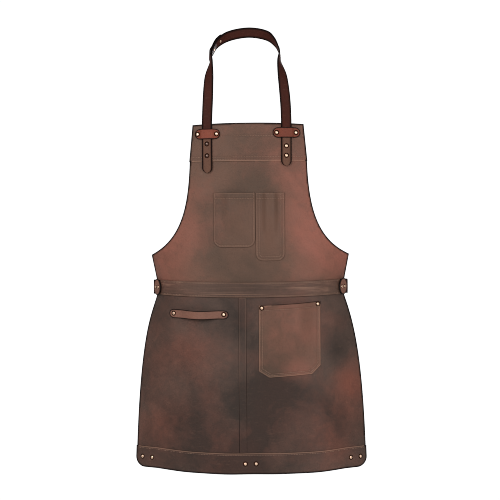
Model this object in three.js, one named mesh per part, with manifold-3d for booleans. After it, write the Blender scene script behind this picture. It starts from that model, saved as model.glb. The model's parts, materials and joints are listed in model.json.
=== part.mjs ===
// A leather welding apron, hung and shaped as it is worn.
// Millimetres, +Z up. The wearer faces -Y and +X is on the right of someone who faces the apron.
// The origin is the middle of the neck strap's inner face, where it rests on the nape.
import * as THREE from 'three';
import { mergeVertices } from 'three/addons/utils/BufferGeometryUtils.js';
import Module from 'manifold-3d';

const wasm = await Module();
wasm.setup();

// ---- Driving dimensions ----

// The whole apron
const NECK_DEPTH = 110; // from the nape forward to the face of the bib
const NECK_RISE = 261; // from the bib's top edge up to the nape
const APRON_LENGTH = 914; // from the bib's top edge down to the hem
const HIDE = 2; // thickness of one layer of leather
const SEAM_GAP = 0.5; // air between two layers that are sewn or riveted together
const WAIST_HALF = 250; // from the middle to each side at the waist

// How far the sides stand behind the middle
const SWEEP_HALF = WAIST_HALF; // distance from the middle at which the two sweeps are stated
const SWEEP_AT_TOP = 84;
const SWEEP_AT_HEM = 44;
const WAIST_PULL = 30; // further back at the waist, where the waist strap pulls
const WAIST_PULL_REACH = 60;
const WAIST_SAG = 7;
const WAIST_SAG_REACH = 90;

// Waist
const WAIST_DROP = 408;
const WAIST_HEIGHT = 40;
const WAIST_LAP = 12; // how far the bib reaches down behind the waist band
const FOLD_GAP = 1.6; // room for the bib to fold behind the waist band
const BIB_TO_SKIRT = 1.5;

// Bib
const BIB_TOP_HALF = 145;
const BIB_CHEST_HALF = 154;
const BIB_CHEST_DROP = 94;
const BIB_CORNER_HALF = WAIST_HALF + 15;
const BIB_CORNER_DROP = WAIST_DROP - 67;
const TOP_BAND_HEIGHT = 97;

// Skirt
const SKIRT_HEM_HALF = WAIST_HALF + 62;
const SKIRT_FLARE_REACH = 165;
const SEAM_X = -17; // the skirt is cut in two pieces that meet here
const SEAM_STRIP_WIDTH = 20;
const HEM_HEIGHT = 55;
const HEM_CORNER = 25;

// Neck strap
const NECK_STRAP_WIDTH = 27.5;
const NECK_STRAP_THICKNESS = 3;
const LEFT_STRAP_X = -106;
const RIGHT_STRAP_X = 100;
const LEFT_TAIL_DROP = 127;
const RIGHT_END_DROP = 110;
const FOLD_RISE = 4; // the neck loop folds about a line this far above the bib
const FOLD_HALF_GAP = 3;
const NECK_RADIUS = 91;
const NECK_SHIFT = -6; // the loop's sides lean towards the left strap
const KEEPER_HEIGHT = 27;
const KEEPER_RIVET_REACH = NECK_STRAP_WIDTH / 2 + 10.9; // from the strap's middle
const LAP_GAP = 1;

// Pockets and towel loop
const CHEST_POCKET = {
  left: -91, right: 17.8, top: WAIST_DROP - 228, bottom: WAIST_DROP - 87, corner: 21, swell: 9,
};
const PEN_POCKET = {
  left: 19.4, right: 94.8, top: WAIST_DROP - 227, bottom: WAIST_DROP - 53, corner: 18, swell: 10,
};
const TOOL_POCKET = {
  left: 26, right: 186, top: WAIST_DROP + 55, bottom: WAIST_DROP + 255, corner: 22, swell: 14,
};
const TOOL_POCKET_SLOPE = 7; // its top edge is this much lower at its inner end
const STITCH_MARGIN = 13;
const LOOP_LEFT = -211;
const LOOP_RIGHT = -53;
const LOOP_DROP = WAIST_DROP + 88;
const LOOP_HEIGHT = 24;
const LOOP_BOW = 14;
const LOOP_SAG = 4;
const LOOP_RIVET_INSET = 12.5;

// Waist strap
const BELT_WIDTH = 38;
const BELT_THICKNESS = 2.5;
const BELT_BACK = 236; // from the face of the apron to the strap across the back
const BELT_SIDE = WAIST_HALF + 7;
const TAB_HEIGHT = 46;
const TAB_X = WAIST_HALF - 8.5;
const TAB_SPAN = 21; // seen from the front; the tab itself turns round the side
const ANCHOR_X = WAIST_HALF - 14;
const ANCHOR_END = WAIST_HALF + 5;
const BELT_TURN_Y = 36; // where the strap turns about the side of the apron
const BELT_TURN_GAP = 2;
const BUCKLE_X = 10;
const BUCKLE_LENGTH = 32;
const BUCKLE_RISE = 4.5;
const RAIL_THICKNESS = 3.5;
const RAIL_RADIUS = 3;
const RAIL_ROOM = 1.5;
const BAR_RADIUS = 2;
const BAR_ROOM = 0.5;
const ROLLER_RADIUS = 3.2;
const PRONG_WIDTH = 3.6;
const PRONG_THICKNESS = 3;
const PRONG_GAP = 1.4; // from the prong's tip to the roller that it rests over
const TAIL_END_X = BUCKLE_X + 82;
const TAIL_GAP = 0.8; // from the tail to the strap that it lies on
const STRAP_TO_ROLLER = 0.95;
const BELT_KEEPER_X = BUCKLE_X + 36;
const BELT_KEEPER_WIDTH = 14;
const BELT_KEEPER_ROOM = 0.6;

// Rivets
const CAP_RADIUS = 4.7;
const CAP_HEIGHT = 2.4;
const SHANK_RADIUS = 1.8;
const BORE_RADIUS = 2.3;
const BACK_RADIUS = 3.8;
const BACK_HEIGHT = 1.2;
const RIVET_GAP = 0.8; // from a rivet's heads to the leather

// Smoothness
const FACET_ACROSS = 32;
const FACET_AT_SIDE = 8;
const SIDE_START = WAIST_HALF - 25; // the face turns more sharply from here to the side's end
const SIDE_END = WAIST_HALF + 15;
const FACET_DOWN = 75;
const FACET_AT_WAIST = 24;
const FACET_AT_HEM = 20;
const POCKET_FACET = 18;
const LOOP_FACET = 9;
const RIVET_SIDES = 8;
const BAR_SIDES = 12;

// ---- Finishes ----

function finish(color, roughness, metalness) {
  return { color, roughness, metalness };
}

const HIDE_BROWN = finish(0x6b4f45, 0.62, 0);
const HIDE_DARK = finish(0x4a3731, 0.6, 0);
const HIDE_RED = finish(0x7a4a3d, 0.58, 0);
const STRAP_RED = finish(0x4b2a22, 0.55, 0);
const BRASS = finish(0xc79a6a, 0.3, 1);
const BLACK_METAL = finish(0x2a2524, 0.4, 1);
const STEEL = finish(0xb0aca6, 0.35, 1);

// ---- Solids ----

const model = new THREE.Group();
model.name = 'welding_apron';

function closed(geometry) {
  geometry.deleteAttribute('normal');
  geometry.deleteAttribute('uv');
  return mergeVertices(geometry, 1e-4);
}

function toSolid(geometry) {
  const merged = closed(geometry);
  const vertProperties = new Float32Array(merged.attributes.position.array);
  const triVerts = new Uint32Array(merged.index.array);
  return new wasm.Manifold(new wasm.Mesh({ numProp: 3, vertProperties, triVerts }));
}

function toGeometry(solid) {
  const mesh = solid.getMesh();
  const geometry = new THREE.BufferGeometry();
  geometry.setAttribute('position', new THREE.BufferAttribute(mesh.vertProperties, 3));
  geometry.setIndex(new THREE.BufferAttribute(mesh.triVerts, 1));
  return geometry;
}

function addPiece(name, geometry, look) {
  const mesh = new THREE.Mesh(geometry, new THREE.MeshStandardMaterial(look));
  mesh.name = name;
  model.add(mesh);
  return mesh;
}

// Moves every corner of a geometry to where place(corner) says.
function reshape(geometry, place) {
  const corners = geometry.attributes.position;
  const corner = new THREE.Vector3();
  for (let i = 0; i < corners.count; i += 1) {
    corner.fromBufferAttribute(corners, i);
    const moved = place(corner);
    corners.setXYZ(i, moved.x, moved.y, moved.z);
  }
  return geometry;
}

// ---- The face of the apron ----

function bell(distance, reach) {
  return Math.exp(-((distance / reach) ** 2));
}

const waistMiddle = WAIST_DROP + WAIST_HEIGHT / 2;

// How far the face stands behind its foremost line, at x and at a drop below the bib's top edge.
function sweepAt(x, drop) {
  const share = Math.abs(x) / SWEEP_HALF;
  const sweep = THREE.MathUtils.lerp(SWEEP_AT_TOP, SWEEP_AT_HEM, drop / APRON_LENGTH);
  const pull = WAIST_PULL * bell(drop - waistMiddle, WAIST_PULL_REACH);
  return sweep * share ** 3 + pull * share ** 10;
}

function sagAt(x, drop) {
  const across = Math.max(0, 1 - (x / WAIST_HALF) ** 2);
  return WAIST_SAG * across * bell(drop - waistMiddle, WAIST_SAG_REACH);
}

function normalAt(x, drop) {
  const step = 0.5;
  const across = (sweepAt(x + step, drop) - sweepAt(x - step, drop)) / (2 * step);
  const down = (sweepAt(x, drop + step) - sweepAt(x, drop - step)) / (2 * step);
  return new THREE.Vector3(across, -1, -down).normalize();
}

// Evenly spaced values from low to high, about one step apart.
function stepsBetween(low, high, step) {
  const count = Math.ceil((high - low) / step);
  return Array.from({ length: count + 1 }, (_, i) => THREE.MathUtils.lerp(low, high, i / count));
}

// Every layer bends along the same lines across and down the face, so that layers never cut into each other.
const rightLines = [
  ...stepsBetween(0, SIDE_START, FACET_ACROSS),
  ...stepsBetween(SIDE_START, SIDE_END, FACET_AT_SIDE).slice(1),
  ...stepsBetween(SIDE_END, SKIRT_HEM_HALF + FACET_ACROSS / 2, FACET_ACROSS).slice(1),
];
const xLines = [...rightLines.slice(1).map((x) => -x).reverse(), ...rightLines];
const waistTop = WAIST_DROP - FACET_DOWN;
const waistEnd = WAIST_DROP + WAIST_HEIGHT + FACET_DOWN;
const hemTop = APRON_LENGTH - HEM_HEIGHT;
const dropLines = [
  ...stepsBetween(-FACET_DOWN, waistTop, FACET_DOWN),
  ...stepsBetween(waistTop, waistEnd, FACET_AT_WAIST).slice(1),
  ...stepsBetween(waistEnd, hemTop, FACET_DOWN).slice(1),
  ...stepsBetween(hemTop, APRON_LENGTH, FACET_AT_HEM).slice(1),
];

// The face's own point at x and a drop, standing out of it by a distance.
function smoothFace(x, drop, out) {
  const y = sweepAt(x, drop) - NECK_DEPTH;
  const z = -NECK_RISE - drop - sagAt(x, drop);
  return new THREE.Vector3(x, y, z).addScaledVector(normalAt(x, drop), out);
}

function cellOf(lines, value) {
  const above = lines.findIndex((line) => line > value);
  const index = THREE.MathUtils.clamp(above < 0 ? lines.length - 2 : above - 1, 0, lines.length - 2);
  const share = (value - lines[index]) / (lines[index + 1] - lines[index]);
  return { low: lines[index], high: lines[index + 1], share };
}

// The same point on the faceted face: flat between two neighbouring lines.
function onFace(x, drop, out) {
  const across = cellOf(xLines, x);
  const down = cellOf(dropLines, drop);
  const between = (d) => smoothFace(across.low, d, out).lerp(smoothFace(across.high, d, out), across.share);
  return between(down.low).lerp(between(down.high), down.share);
}

// Layers, as distances out of the face. Each starts a seam gap above the one that it lies on.
const layerStep = HIDE + SEAM_GAP;
const firstLayer = 0;
const secondLayer = firstLayer + layerStep;
const thirdLayer = secondLayer + layerStep;
const waistLayer = HIDE + FOLD_GAP;
const anchorLayer = waistLayer + layerStep;
const tabLayer = anchorLayer + BELT_THICKNESS + SEAM_GAP;

// The face's lines between two values, with both values and any lines of a piece's own.
function linesWithin(lines, low, high, own = []) {
  const least = FACET_AT_SIDE / 16;
  const kept = [low];
  const between = [...lines, ...own].filter((v) => v > low + least && v < high - least).sort((a, b) => a - b);
  for (const value of between) {
    if (lines.includes(value) || value - kept[kept.length - 1] > least) {
      kept.push(value);
    }
  }
  return [...kept, high];
}

// A rectangle of leather laid on the face. Area has left, right, top and bottom; lift(x, drop) raises it.
function sheet(area, layer, thickness, lift = () => 0, own = {}) {
  const across = linesWithin(xLines, area.left, area.right, own.across);
  const down = linesWithin(dropLines, area.top, area.bottom, own.down);
  const columns = across.length - 1;
  const rows = down.length - 1;
  return reshape(new THREE.BoxGeometry(1, 1, 1, columns, 1, rows), (corner) => {
    const x = across[Math.round((corner.x + 0.5) * columns)];
    const drop = down[Math.round((corner.z + 0.5) * rows)];
    return onFace(x, drop, layer + thickness * (corner.y + 0.5) + lift(x, drop));
  });
}

// What is left of a sheet inside an outline, which is drawn as x and minus the drop.
function cutOut(geometry, outline) {
  const reach = 2 * BELT_BACK;
  const die = new THREE.ExtrudeGeometry(outline, { depth: 1, bevelEnabled: false, curveSegments: 5 });
  reshape(die, (corner) => {
    const z = corner.y - NECK_RISE - sagAt(corner.x, -corner.y);
    return new THREE.Vector3(corner.x, reach * (0.5 - corner.z), z);
  });
  return toGeometry(toSolid(geometry).intersect(toSolid(die)));
}

function areaOf(outline) {
  const points = outline.getPoints(6);
  const xs = points.map((p) => p.x);
  const drops = points.map((p) => -p.y);
  return {
    left: Math.min(...xs) - 1,
    right: Math.max(...xs) + 1,
    top: Math.min(...drops) - 1,
    bottom: Math.max(...drops) + 1,
  };
}

// A piece of leather cut to an outline and laid on the face.
function patch(outline, layer, thickness, lift, own) {
  return cutOut(sheet(areaOf(outline), layer, thickness, lift, own), outline);
}

// ---- Rivets ----

const rivetSpots = [];

// A spot on the face where a rivet goes through the layers between two distances out of it.
function faceSpot(name, x, drop, from, to, look = BRASS) {
  const spot = { name, position: onFace(x, drop, 0), normal: normalAt(x, drop), from, to, look };
  rivetSpots.push(spot);
}

function aimAlong(object, spot) {
  object.position.copy(spot.position);
  object.quaternion.setFromUnitVectors(new THREE.Vector3(0, 1, 0), spot.normal);
  object.updateMatrix();
  return object;
}

function boreSolid(spot) {
  const reach = spot.to - spot.from + 2 * HIDE; // well past both faces
  const cylinder = new THREE.CylinderGeometry(BORE_RADIUS, BORE_RADIUS, reach, RIVET_SIDES);
  cylinder.translate(0, (spot.from + spot.to) / 2, 0);
  cylinder.applyMatrix4(aimAlong(new THREE.Object3D(), spot).matrix);
  return toSolid(cylinder);
}

// Cuts every rivet's bore out of a piece.
function punched(geometry) {
  let solid = toSolid(geometry);
  for (const spot of rivetSpots) {
    solid = solid.subtract(boreSolid(spot));
  }
  return toGeometry(solid);
}

// One rivet: a domed cap in front, a shank through the leather and a flat head behind.
function addRivet(spot) {
  const back = spot.from - RIVET_GAP;
  const front = spot.to + RIVET_GAP;
  const rim = front + CAP_HEIGHT * 0.25;
  const profile = [
    new THREE.Vector2(0, back - BACK_HEIGHT),
    new THREE.Vector2(BACK_RADIUS * 0.8, back - BACK_HEIGHT),
    new THREE.Vector2(BACK_RADIUS, back),
    new THREE.Vector2(SHANK_RADIUS, back),
    new THREE.Vector2(SHANK_RADIUS, front),
    new THREE.Vector2(CAP_RADIUS, front),
  ];
  for (const turn of [0, 45, 90]) {
    const angle = THREE.MathUtils.degToRad(turn);
    const height = (CAP_HEIGHT * 0.75) * Math.sin(angle);
    profile.push(new THREE.Vector2(CAP_RADIUS * Math.cos(angle), rim + height));
  }
  profile[profile.length - 1].x = 0;
  const turned = closed(new THREE.LatheGeometry(profile, RIVET_SIDES));
  aimAlong(addPiece(spot.name, turned, spot.look), spot);
}

// ---- Straps as ribbons ----

// Points and width directions along a strap. At(share) gives the place, the way along, the way across
// and the way out of the strap's outer face.
function strapPath(stations) {
  const middle = new THREE.CatmullRomCurve3(stations.map((s) => s.point));
  const width = new THREE.CatmullRomCurve3(stations.map((s) => s.across));
  return (share) => {
    const step = 1e-3;
    const along = middle.getPoint(Math.min(1, share + step)).sub(middle.getPoint(Math.max(0, share - step)));
    along.normalize();
    const across = width.getPoint(share);
    across.addScaledVector(along, -across.dot(along)).normalize();
    const out = new THREE.Vector3().crossVectors(along, across);
    return { point: middle.getPoint(share), along, across, out };
  };
}

// A strap of even thickness between two shares of a path. Raise(share) moves it out of the path.
function ribbon(path, size, options = {}) {
  const { from = 0, to = 1, steps = 24, raise = () => 0, half = () => size.width / 2 } = options;
  const strip = new THREE.BoxGeometry(1, 1, steps, 2, 1, steps);
  return reshape(strip, (corner) => {
    const share = THREE.MathUtils.lerp(from, to, (corner.z + steps / 2) / steps);
    const frame = path(share);
    const out = corner.y * size.thickness + raise(share);
    frame.point.addScaledVector(frame.across, corner.x * 2 * half(share));
    return frame.point.addScaledVector(frame.out, out);
  });
}

// ---- Outlines ----

function stadium(left, right, middle, height) {
  const radius = height / 2;
  const outline = new THREE.Shape();
  outline.moveTo(left + radius, -middle - radius);
  outline.lineTo(right - radius, -middle - radius);
  outline.absarc(right - radius, -middle, radius, -Math.PI / 2, Math.PI / 2, false);
  outline.lineTo(left + radius, -middle + radius);
  outline.absarc(left + radius, -middle, radius, Math.PI / 2, Math.PI * 1.5, false);
  return outline;
}

function pocketOutline(p) {
  const outline = new THREE.Shape();
  outline.moveTo(p.left, -p.top);
  outline.lineTo(p.left, -p.bottom + p.corner);
  outline.absarc(p.left + p.corner, -p.bottom + p.corner, p.corner, Math.PI, Math.PI * 1.5, false);
  outline.lineTo(p.right - p.corner, -p.bottom);
  outline.absarc(p.right - p.corner, -p.bottom + p.corner, p.corner, Math.PI * 1.5, Math.PI * 2, false);
  outline.lineTo(p.right, -p.top);
  return outline;
}

// The tool pocket has cut corners and a sloping mouth.
function toolPocketOutline(p) {
  const outline = new THREE.Shape();
  outline.moveTo(p.left, -p.top - TOOL_POCKET_SLOPE);
  outline.lineTo(p.left, -p.bottom + p.corner * 0.75);
  outline.lineTo(p.left + p.corner * 1.25, -p.bottom);
  outline.lineTo(p.right - p.corner, -p.bottom + TOOL_POCKET_SLOPE);
  outline.lineTo(p.right, -p.bottom + TOOL_POCKET_SLOPE + p.corner);
  outline.lineTo(p.right, -p.top);
  return outline;
}

// A pocket lies flat where it is sewn and swells towards its mouth.
function pocketSwell(p) {
  return (x, drop) => {
    const fromSide = Math.min(x - p.left, p.right - x);
    const fromBottom = p.bottom - drop;
    const sideShare = THREE.MathUtils.smoothstep(fromSide, STITCH_MARGIN, (p.right - p.left) * 0.42);
    const upShare = THREE.MathUtils.smoothstep(fromBottom, STITCH_MARGIN, (p.bottom - p.top) * 0.7);
    return p.swell * sideShare * upShare;
  };
}

// ---- Bib ----

// The bib's outline: straight beside the chest, an armhole on each side, then square to the waist.
function bibOutline() {
  const corner = [BIB_CORNER_HALF, -BIB_CORNER_DROP];
  const upperPull = [BIB_CHEST_HALF + 4, -THREE.MathUtils.lerp(BIB_CHEST_DROP, BIB_CORNER_DROP, 0.53)];
  const lowerPull = [BIB_CHEST_HALF + 28, -THREE.MathUtils.lerp(BIB_CHEST_DROP, BIB_CORNER_DROP, 0.85)];
  const bottom = -WAIST_DROP - WAIST_LAP;
  const outline = new THREE.Shape();
  outline.moveTo(-BIB_TOP_HALF, 0);
  outline.lineTo(-BIB_CHEST_HALF, -BIB_CHEST_DROP);
  outline.bezierCurveTo(-upperPull[0], upperPull[1], -lowerPull[0], lowerPull[1], -corner[0], corner[1]);
  outline.lineTo(-WAIST_HALF, bottom);
  outline.lineTo(0, bottom);
  outline.lineTo(WAIST_HALF, bottom);
  outline.lineTo(...corner);
  outline.bezierCurveTo(...lowerPull, ...upperPull, BIB_CHEST_HALF, -BIB_CHEST_DROP);
  outline.lineTo(BIB_TOP_HALF, 0);
  return outline;
}

function topBandOutline() {
  const outline = new THREE.Shape();
  const bottomHalf = THREE.MathUtils.lerp(BIB_TOP_HALF, BIB_CHEST_HALF, TOP_BAND_HEIGHT / BIB_CHEST_DROP);
  outline.moveTo(-BIB_TOP_HALF, 0);
  outline.lineTo(-bottomHalf, -TOP_BAND_HEIGHT);
  outline.lineTo(bottomHalf, -TOP_BAND_HEIGHT);
  outline.lineTo(BIB_TOP_HALF, 0);
  return outline;
}

function addPocket(name, pocket, outline) {
  const swell = pocketSwell(pocket);
  const own = {
    across: stepsBetween(pocket.left + STITCH_MARGIN, pocket.right - STITCH_MARGIN, POCKET_FACET),
    down: stepsBetween(pocket.top, pocket.bottom - STITCH_MARGIN, 2 * POCKET_FACET),
  };
  addPiece(name, punched(patch(outline, secondLayer, HIDE, swell, own)), HIDE_BROWN);
}

function addBib() {
  addPiece('bib_panel', punched(patch(bibOutline(), firstLayer, HIDE)), HIDE_BROWN);
  addPiece('bib_top_band', punched(patch(topBandOutline(), secondLayer, HIDE)), HIDE_BROWN);
  addPocket('chest_pocket', CHEST_POCKET, pocketOutline(CHEST_POCKET));
  addPocket('pen_pocket', PEN_POCKET, pocketOutline(PEN_POCKET));
}

// ---- Neck strap ----

const strapMiddle = thirdLayer + NECK_STRAP_THICKNESS / 2;
const strapSize = { width: NECK_STRAP_WIDTH, thickness: NECK_STRAP_THICKNESS };

function endStation(x, drop) {
  const normal = normalAt(x, drop);
  const across = new THREE.Vector3(-normal.y, normal.x, 0).multiplyScalar(Math.sign(x));
  return { point: onFace(x, drop, strapMiddle), across };
}

// One side of the neck loop from the bib up to the nape, as points and width directions for the right side.
function loopStations(x) {
  const side = Math.sign(x);
  const foot = endStation(x, -FOLD_RISE - FOLD_HALF_GAP);
  const face = foot.point.y;
  const r = NECK_RADIUS;
  const far = Math.abs(x);
  const shift = side * NECK_SHIFT;
  const climb = [
    [far - 1, face, -0.78 * NECK_RISE, 1, 0.15, 0],
    [(far + r + shift) / 2, face, -0.54 * NECK_RISE, 0.88, 0.47, 0],
    [r + shift, face + 6, -0.38 * NECK_RISE, 0.35, 0.93, 0],
    [r + shift, -0.95 * r, -0.83 * r, 0.05, 0.95, -0.25],
    [0.96 * r + shift, -0.64 * r, -0.63 * r, 0.1, 0.75, -0.6],
    [0.84 * r + shift, -0.36 * r, -0.36 * r, 0.1, 0.55, -0.83],
    [0.58 * r + shift / 2, -0.14 * r, -0.13 * r, 0.05, 0.35, -0.93],
  ];
  return [foot, ...climb.map(([px, py, pz, wx, wy, wz]) => ({
    point: new THREE.Vector3(side * px, py + NECK_STRAP_THICKNESS / 2, pz),
    across: new THREE.Vector3(side * wx, wy, wz),
  }))];
}

const nape = {
  point: new THREE.Vector3(0, NECK_STRAP_THICKNESS / 2, 0),
  across: new THREE.Vector3(0, 0.25, -0.97),
};
const neckPath = strapPath([...loopStations(LEFT_STRAP_X), nape, ...loopStations(RIGHT_STRAP_X).reverse()]);

// The loop is two lengths of strap, joined by two rivets where the left one laps over the right one.
const NECK_FACETS = 64; // both lengths bend at the same places along the loop
const LAP_START = 18 / NECK_FACETS;
const LAP_END = 27 / NECK_FACETS;
const lapRaise = NECK_STRAP_THICKNESS + LAP_GAP;

function leftLengthRaise(share) {
  return lapRaise * THREE.MathUtils.smoothstep(share, LAP_START - 0.07, LAP_START - 0.02);
}

function neckSpot(name, share) {
  const frame = neckPath(share);
  const half = NECK_STRAP_THICKNESS / 2;
  rivetSpots.push({
    name, position: frame.point, normal: frame.out, from: -half, to: half + lapRaise, look: BRASS,
  });
}

// A strap end that lies on the bib, from just under the fold line down to a drop.
function strapEnd(x, bottom) {
  const half = NECK_STRAP_WIDTH / 2;
  const top = FOLD_HALF_GAP - FOLD_RISE;
  const outline = new THREE.Shape();
  outline.moveTo(x - half, -top);
  outline.lineTo(x - half, -bottom + half);
  outline.absarc(x, -bottom + half, half, Math.PI, Math.PI * 2, false);
  outline.lineTo(x + half, -top);
  return patch(outline, thirdLayer, NECK_STRAP_THICKNESS);
}

// A keeper is flat at its two riveted feet and rises over the strap between them.
function strapKeeper(keeper) {
  const rise = NECK_STRAP_THICKNESS + 2 * SEAM_GAP;
  const rampStart = NECK_STRAP_WIDTH / 2 + SEAM_GAP;
  const rampEnd = KEEPER_RIVET_REACH - CAP_RADIUS - RIVET_GAP;
  const fall = (x) => THREE.MathUtils.smoothstep(Math.abs(x - keeper.strapX), rampStart, rampEnd);
  const lift = (x) => rise * (1 - fall(x));
  const ramp = stepsBetween(rampStart, rampEnd, FACET_AT_SIDE / 3);
  const across = ramp.flatMap((reach) => [keeper.strapX - reach, keeper.strapX + reach]);
  const left = keeper.strapX - KEEPER_RIVET_REACH - keeper.beyondLeft;
  const right = keeper.strapX + KEEPER_RIVET_REACH + keeper.beyondRight;
  const outline = stadium(left, right, keeper.drop, KEEPER_HEIGHT);
  return patch(outline, thirdLayer, HIDE, lift, { across });
}

// Each keeper reaches this far beyond its two rivets.
const keepers = [
  { side: 'left', strapX: LEFT_STRAP_X, beyondLeft: 7.4, beyondRight: 9.4, drop: 25 },
  { side: 'right', strapX: RIGHT_STRAP_X, beyondLeft: 10.4, beyondRight: 11.4, drop: 23 },
];

function keeperSpots() {
  for (const keeper of keepers) {
    for (const [end, side] of [['left', -1], ['right', 1]]) {
      const x = keeper.strapX + side * KEEPER_RIVET_REACH;
      faceSpot(`keeper_rivet_${keeper.side}_${end}`, x, keeper.drop, firstLayer, thirdLayer + HIDE);
    }
  }
}

function strapSpots() {
  const front = thirdLayer + NECK_STRAP_THICKNESS;
  faceSpot('strap_stud_upper', LEFT_STRAP_X, 51, firstLayer, front, BLACK_METAL);
  faceSpot('strap_stud_lower', LEFT_STRAP_X, 82, firstLayer, front, BLACK_METAL);
  faceSpot('strap_rivet_upper', RIGHT_STRAP_X, 58, firstLayer, front);
  faceSpot('strap_rivet_lower', RIGHT_STRAP_X, 83, firstLayer, front);
  neckSpot('neck_join_rivet_lower', 0.32);
  neckSpot('neck_join_rivet_upper', 0.39);
}

function addNeckStrap() {
  const longSteps = NECK_FACETS * (1 - LAP_START);
  const long = ribbon(neckPath, strapSize, { from: LAP_START, steps: longSteps });
  addPiece('neck_strap_long', punched(long), STRAP_RED);
  const shortSteps = NECK_FACETS * LAP_END;
  const short = ribbon(neckPath, strapSize, { to: LAP_END, steps: shortSteps, raise: leftLengthRaise });
  addPiece('neck_strap_short', punched(short), STRAP_RED);
  addPiece('neck_strap_left_tail', punched(strapEnd(LEFT_STRAP_X, LEFT_TAIL_DROP)), HIDE_BROWN);
  addPiece('neck_strap_right_end', punched(strapEnd(RIGHT_STRAP_X, RIGHT_END_DROP)), HIDE_BROWN);
  for (const keeper of keepers) {
    addPiece(`strap_keeper_${keeper.side}`, punched(strapKeeper(keeper)), HIDE_RED);
  }
}

// ---- Waist band and skirt ----

function skirtHalf(drop) {
  const flare = SKIRT_HEM_HALF - WAIST_HALF;
  const below = Math.max(0, drop - WAIST_DROP - WAIST_HEIGHT);
  return SKIRT_HEM_HALF - flare * Math.exp(-below / SKIRT_FLARE_REACH);
}

// The skirt's outline below a drop, flaring to rounded corners at the hem.
function skirtOutline(top) {
  const cornerDrop = APRON_LENGTH - HEM_CORNER;
  const half = skirtHalf(cornerDrop);
  const sides = stepsBetween(top, cornerDrop, FACET_DOWN);
  const outline = new THREE.Shape();
  outline.moveTo(-skirtHalf(top), -top);
  for (const drop of sides.slice(1)) {
    outline.lineTo(-skirtHalf(drop), -drop);
  }
  outline.absarc(HEM_CORNER - half, -cornerDrop, HEM_CORNER, Math.PI, Math.PI * 1.5, false);
  outline.absarc(half - HEM_CORNER, -cornerDrop, HEM_CORNER, Math.PI * 1.5, Math.PI * 2, false);
  for (const drop of sides.reverse()) {
    outline.lineTo(skirtHalf(drop), -drop);
  }
  return outline;
}

function addSkirt() {
  const top = WAIST_DROP + WAIST_LAP + BIB_TO_SKIRT;
  const outline = skirtOutline(top);
  const whole = { top, bottom: APRON_LENGTH };
  const reach = SKIRT_HEM_HALF + 1;
  const leftHide = sheet({ ...whole, left: -reach, right: SEAM_X - SEAM_GAP / 2 }, firstLayer, HIDE);
  const rightHide = sheet({ ...whole, left: SEAM_X + SEAM_GAP / 2, right: reach }, firstLayer, HIDE);
  addPiece('skirt_left_panel', punched(cutOut(leftHide, outline)), HIDE_DARK);
  addPiece('skirt_right_panel', punched(cutOut(rightHide, outline)), HIDE_DARK);

  addPiece('hem_band', punched(patch(skirtOutline(hemTop), secondLayer, HIDE)), HIDE_BROWN);

  const strip = {
    left: SEAM_X - SEAM_STRIP_WIDTH / 2,
    right: SEAM_X + SEAM_STRIP_WIDTH / 2,
    top: WAIST_DROP + WAIST_HEIGHT + HIDE,
    bottom: hemTop - SEAM_GAP,
  };
  addPiece('skirt_seam_strip', closed(sheet(strip, secondLayer, HIDE)), HIDE_DARK);
}

function addWaistBand() {
  const half = TAB_X + TAB_SPAN / 4;
  const area = { left: -half, right: half, top: WAIST_DROP, bottom: WAIST_DROP + WAIST_HEIGHT };
  addPiece('waist_band', punched(sheet(area, waistLayer, HIDE)), HIDE_BROWN);
}

// ---- Tool pocket and towel loop ----

const toolRivets = [
  { side: 'left', x: TOOL_POCKET.left + 8, drop: TOOL_POCKET.top + TOOL_POCKET_SLOPE + 7 },
  { side: 'right', x: TOOL_POCKET.right - 7, drop: TOOL_POCKET.top + 7 },
];

function skirtSpots() {
  const front = secondLayer + HIDE;
  for (const rivet of toolRivets) {
    faceSpot(`tool_pocket_rivet_${rivet.side}`, rivet.x, rivet.drop, firstLayer, front);
  }
  faceSpot('towel_loop_rivet_left', LOOP_LEFT + LOOP_RIVET_INSET, LOOP_DROP - 1, firstLayer, front);
  faceSpot('towel_loop_rivet_right', LOOP_RIGHT - LOOP_RIVET_INSET, LOOP_DROP - 1, firstLayer, front);
  const hemDrop = APRON_LENGTH - HEM_HEIGHT / 2;
  const half = skirtHalf(hemDrop);
  const pairs = {
    left: [19 - half, 46 - half],
    middle: [SEAM_X + 5, SEAM_X + 34],
    right: [half - 43, half - 17],
  };
  for (const [place, [outer, inner]] of Object.entries(pairs)) {
    faceSpot(`hem_rivet_${place}_1`, outer, hemDrop, firstLayer, front);
    faceSpot(`hem_rivet_${place}_2`, inner, hemDrop, firstLayer, front);
  }
}

function addSkirtFittings() {
  addPocket('tool_pocket', TOOL_POCKET, toolPocketOutline(TOOL_POCKET));

  const middle = (LOOP_LEFT + LOOP_RIGHT) / 2;
  const reach = (LOOP_RIGHT - LOOP_LEFT) / 2 - 2 * LOOP_RIVET_INSET;
  const bowShare = (x) => Math.cos(Math.min(1, Math.abs(x - middle) / reach) * (Math.PI / 2)) ** 1.5;
  const across = stepsBetween(middle - reach, middle + reach, LOOP_FACET);
  const flat = stadium(LOOP_LEFT, LOOP_RIGHT, LOOP_DROP, LOOP_HEIGHT);
  const lift = (x) => SEAM_GAP / 2 + LOOP_BOW * bowShare(x);
  const loop = patch(flat, secondLayer, HIDE, lift, { across });
  const sagged = reshape(loop, (corner) => corner.clone().setZ(corner.z - LOOP_SAG * bowShare(corner.x)));
  addPiece('towel_loop', punched(sagged), HIDE_RED);
}

// ---- Side tabs and waist strap ----

const beltZ = -NECK_RISE - waistMiddle;
const beltSize = { width: BELT_WIDTH, thickness: BELT_THICKNESS };
const beltMiddleLayer = anchorLayer + BELT_THICKNESS / 2;
const upright = new THREE.Vector3(0, 0, 1);

function beltStation(x, y) {
  return { point: new THREE.Vector3(x, y, beltZ), across: upright };
}

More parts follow.
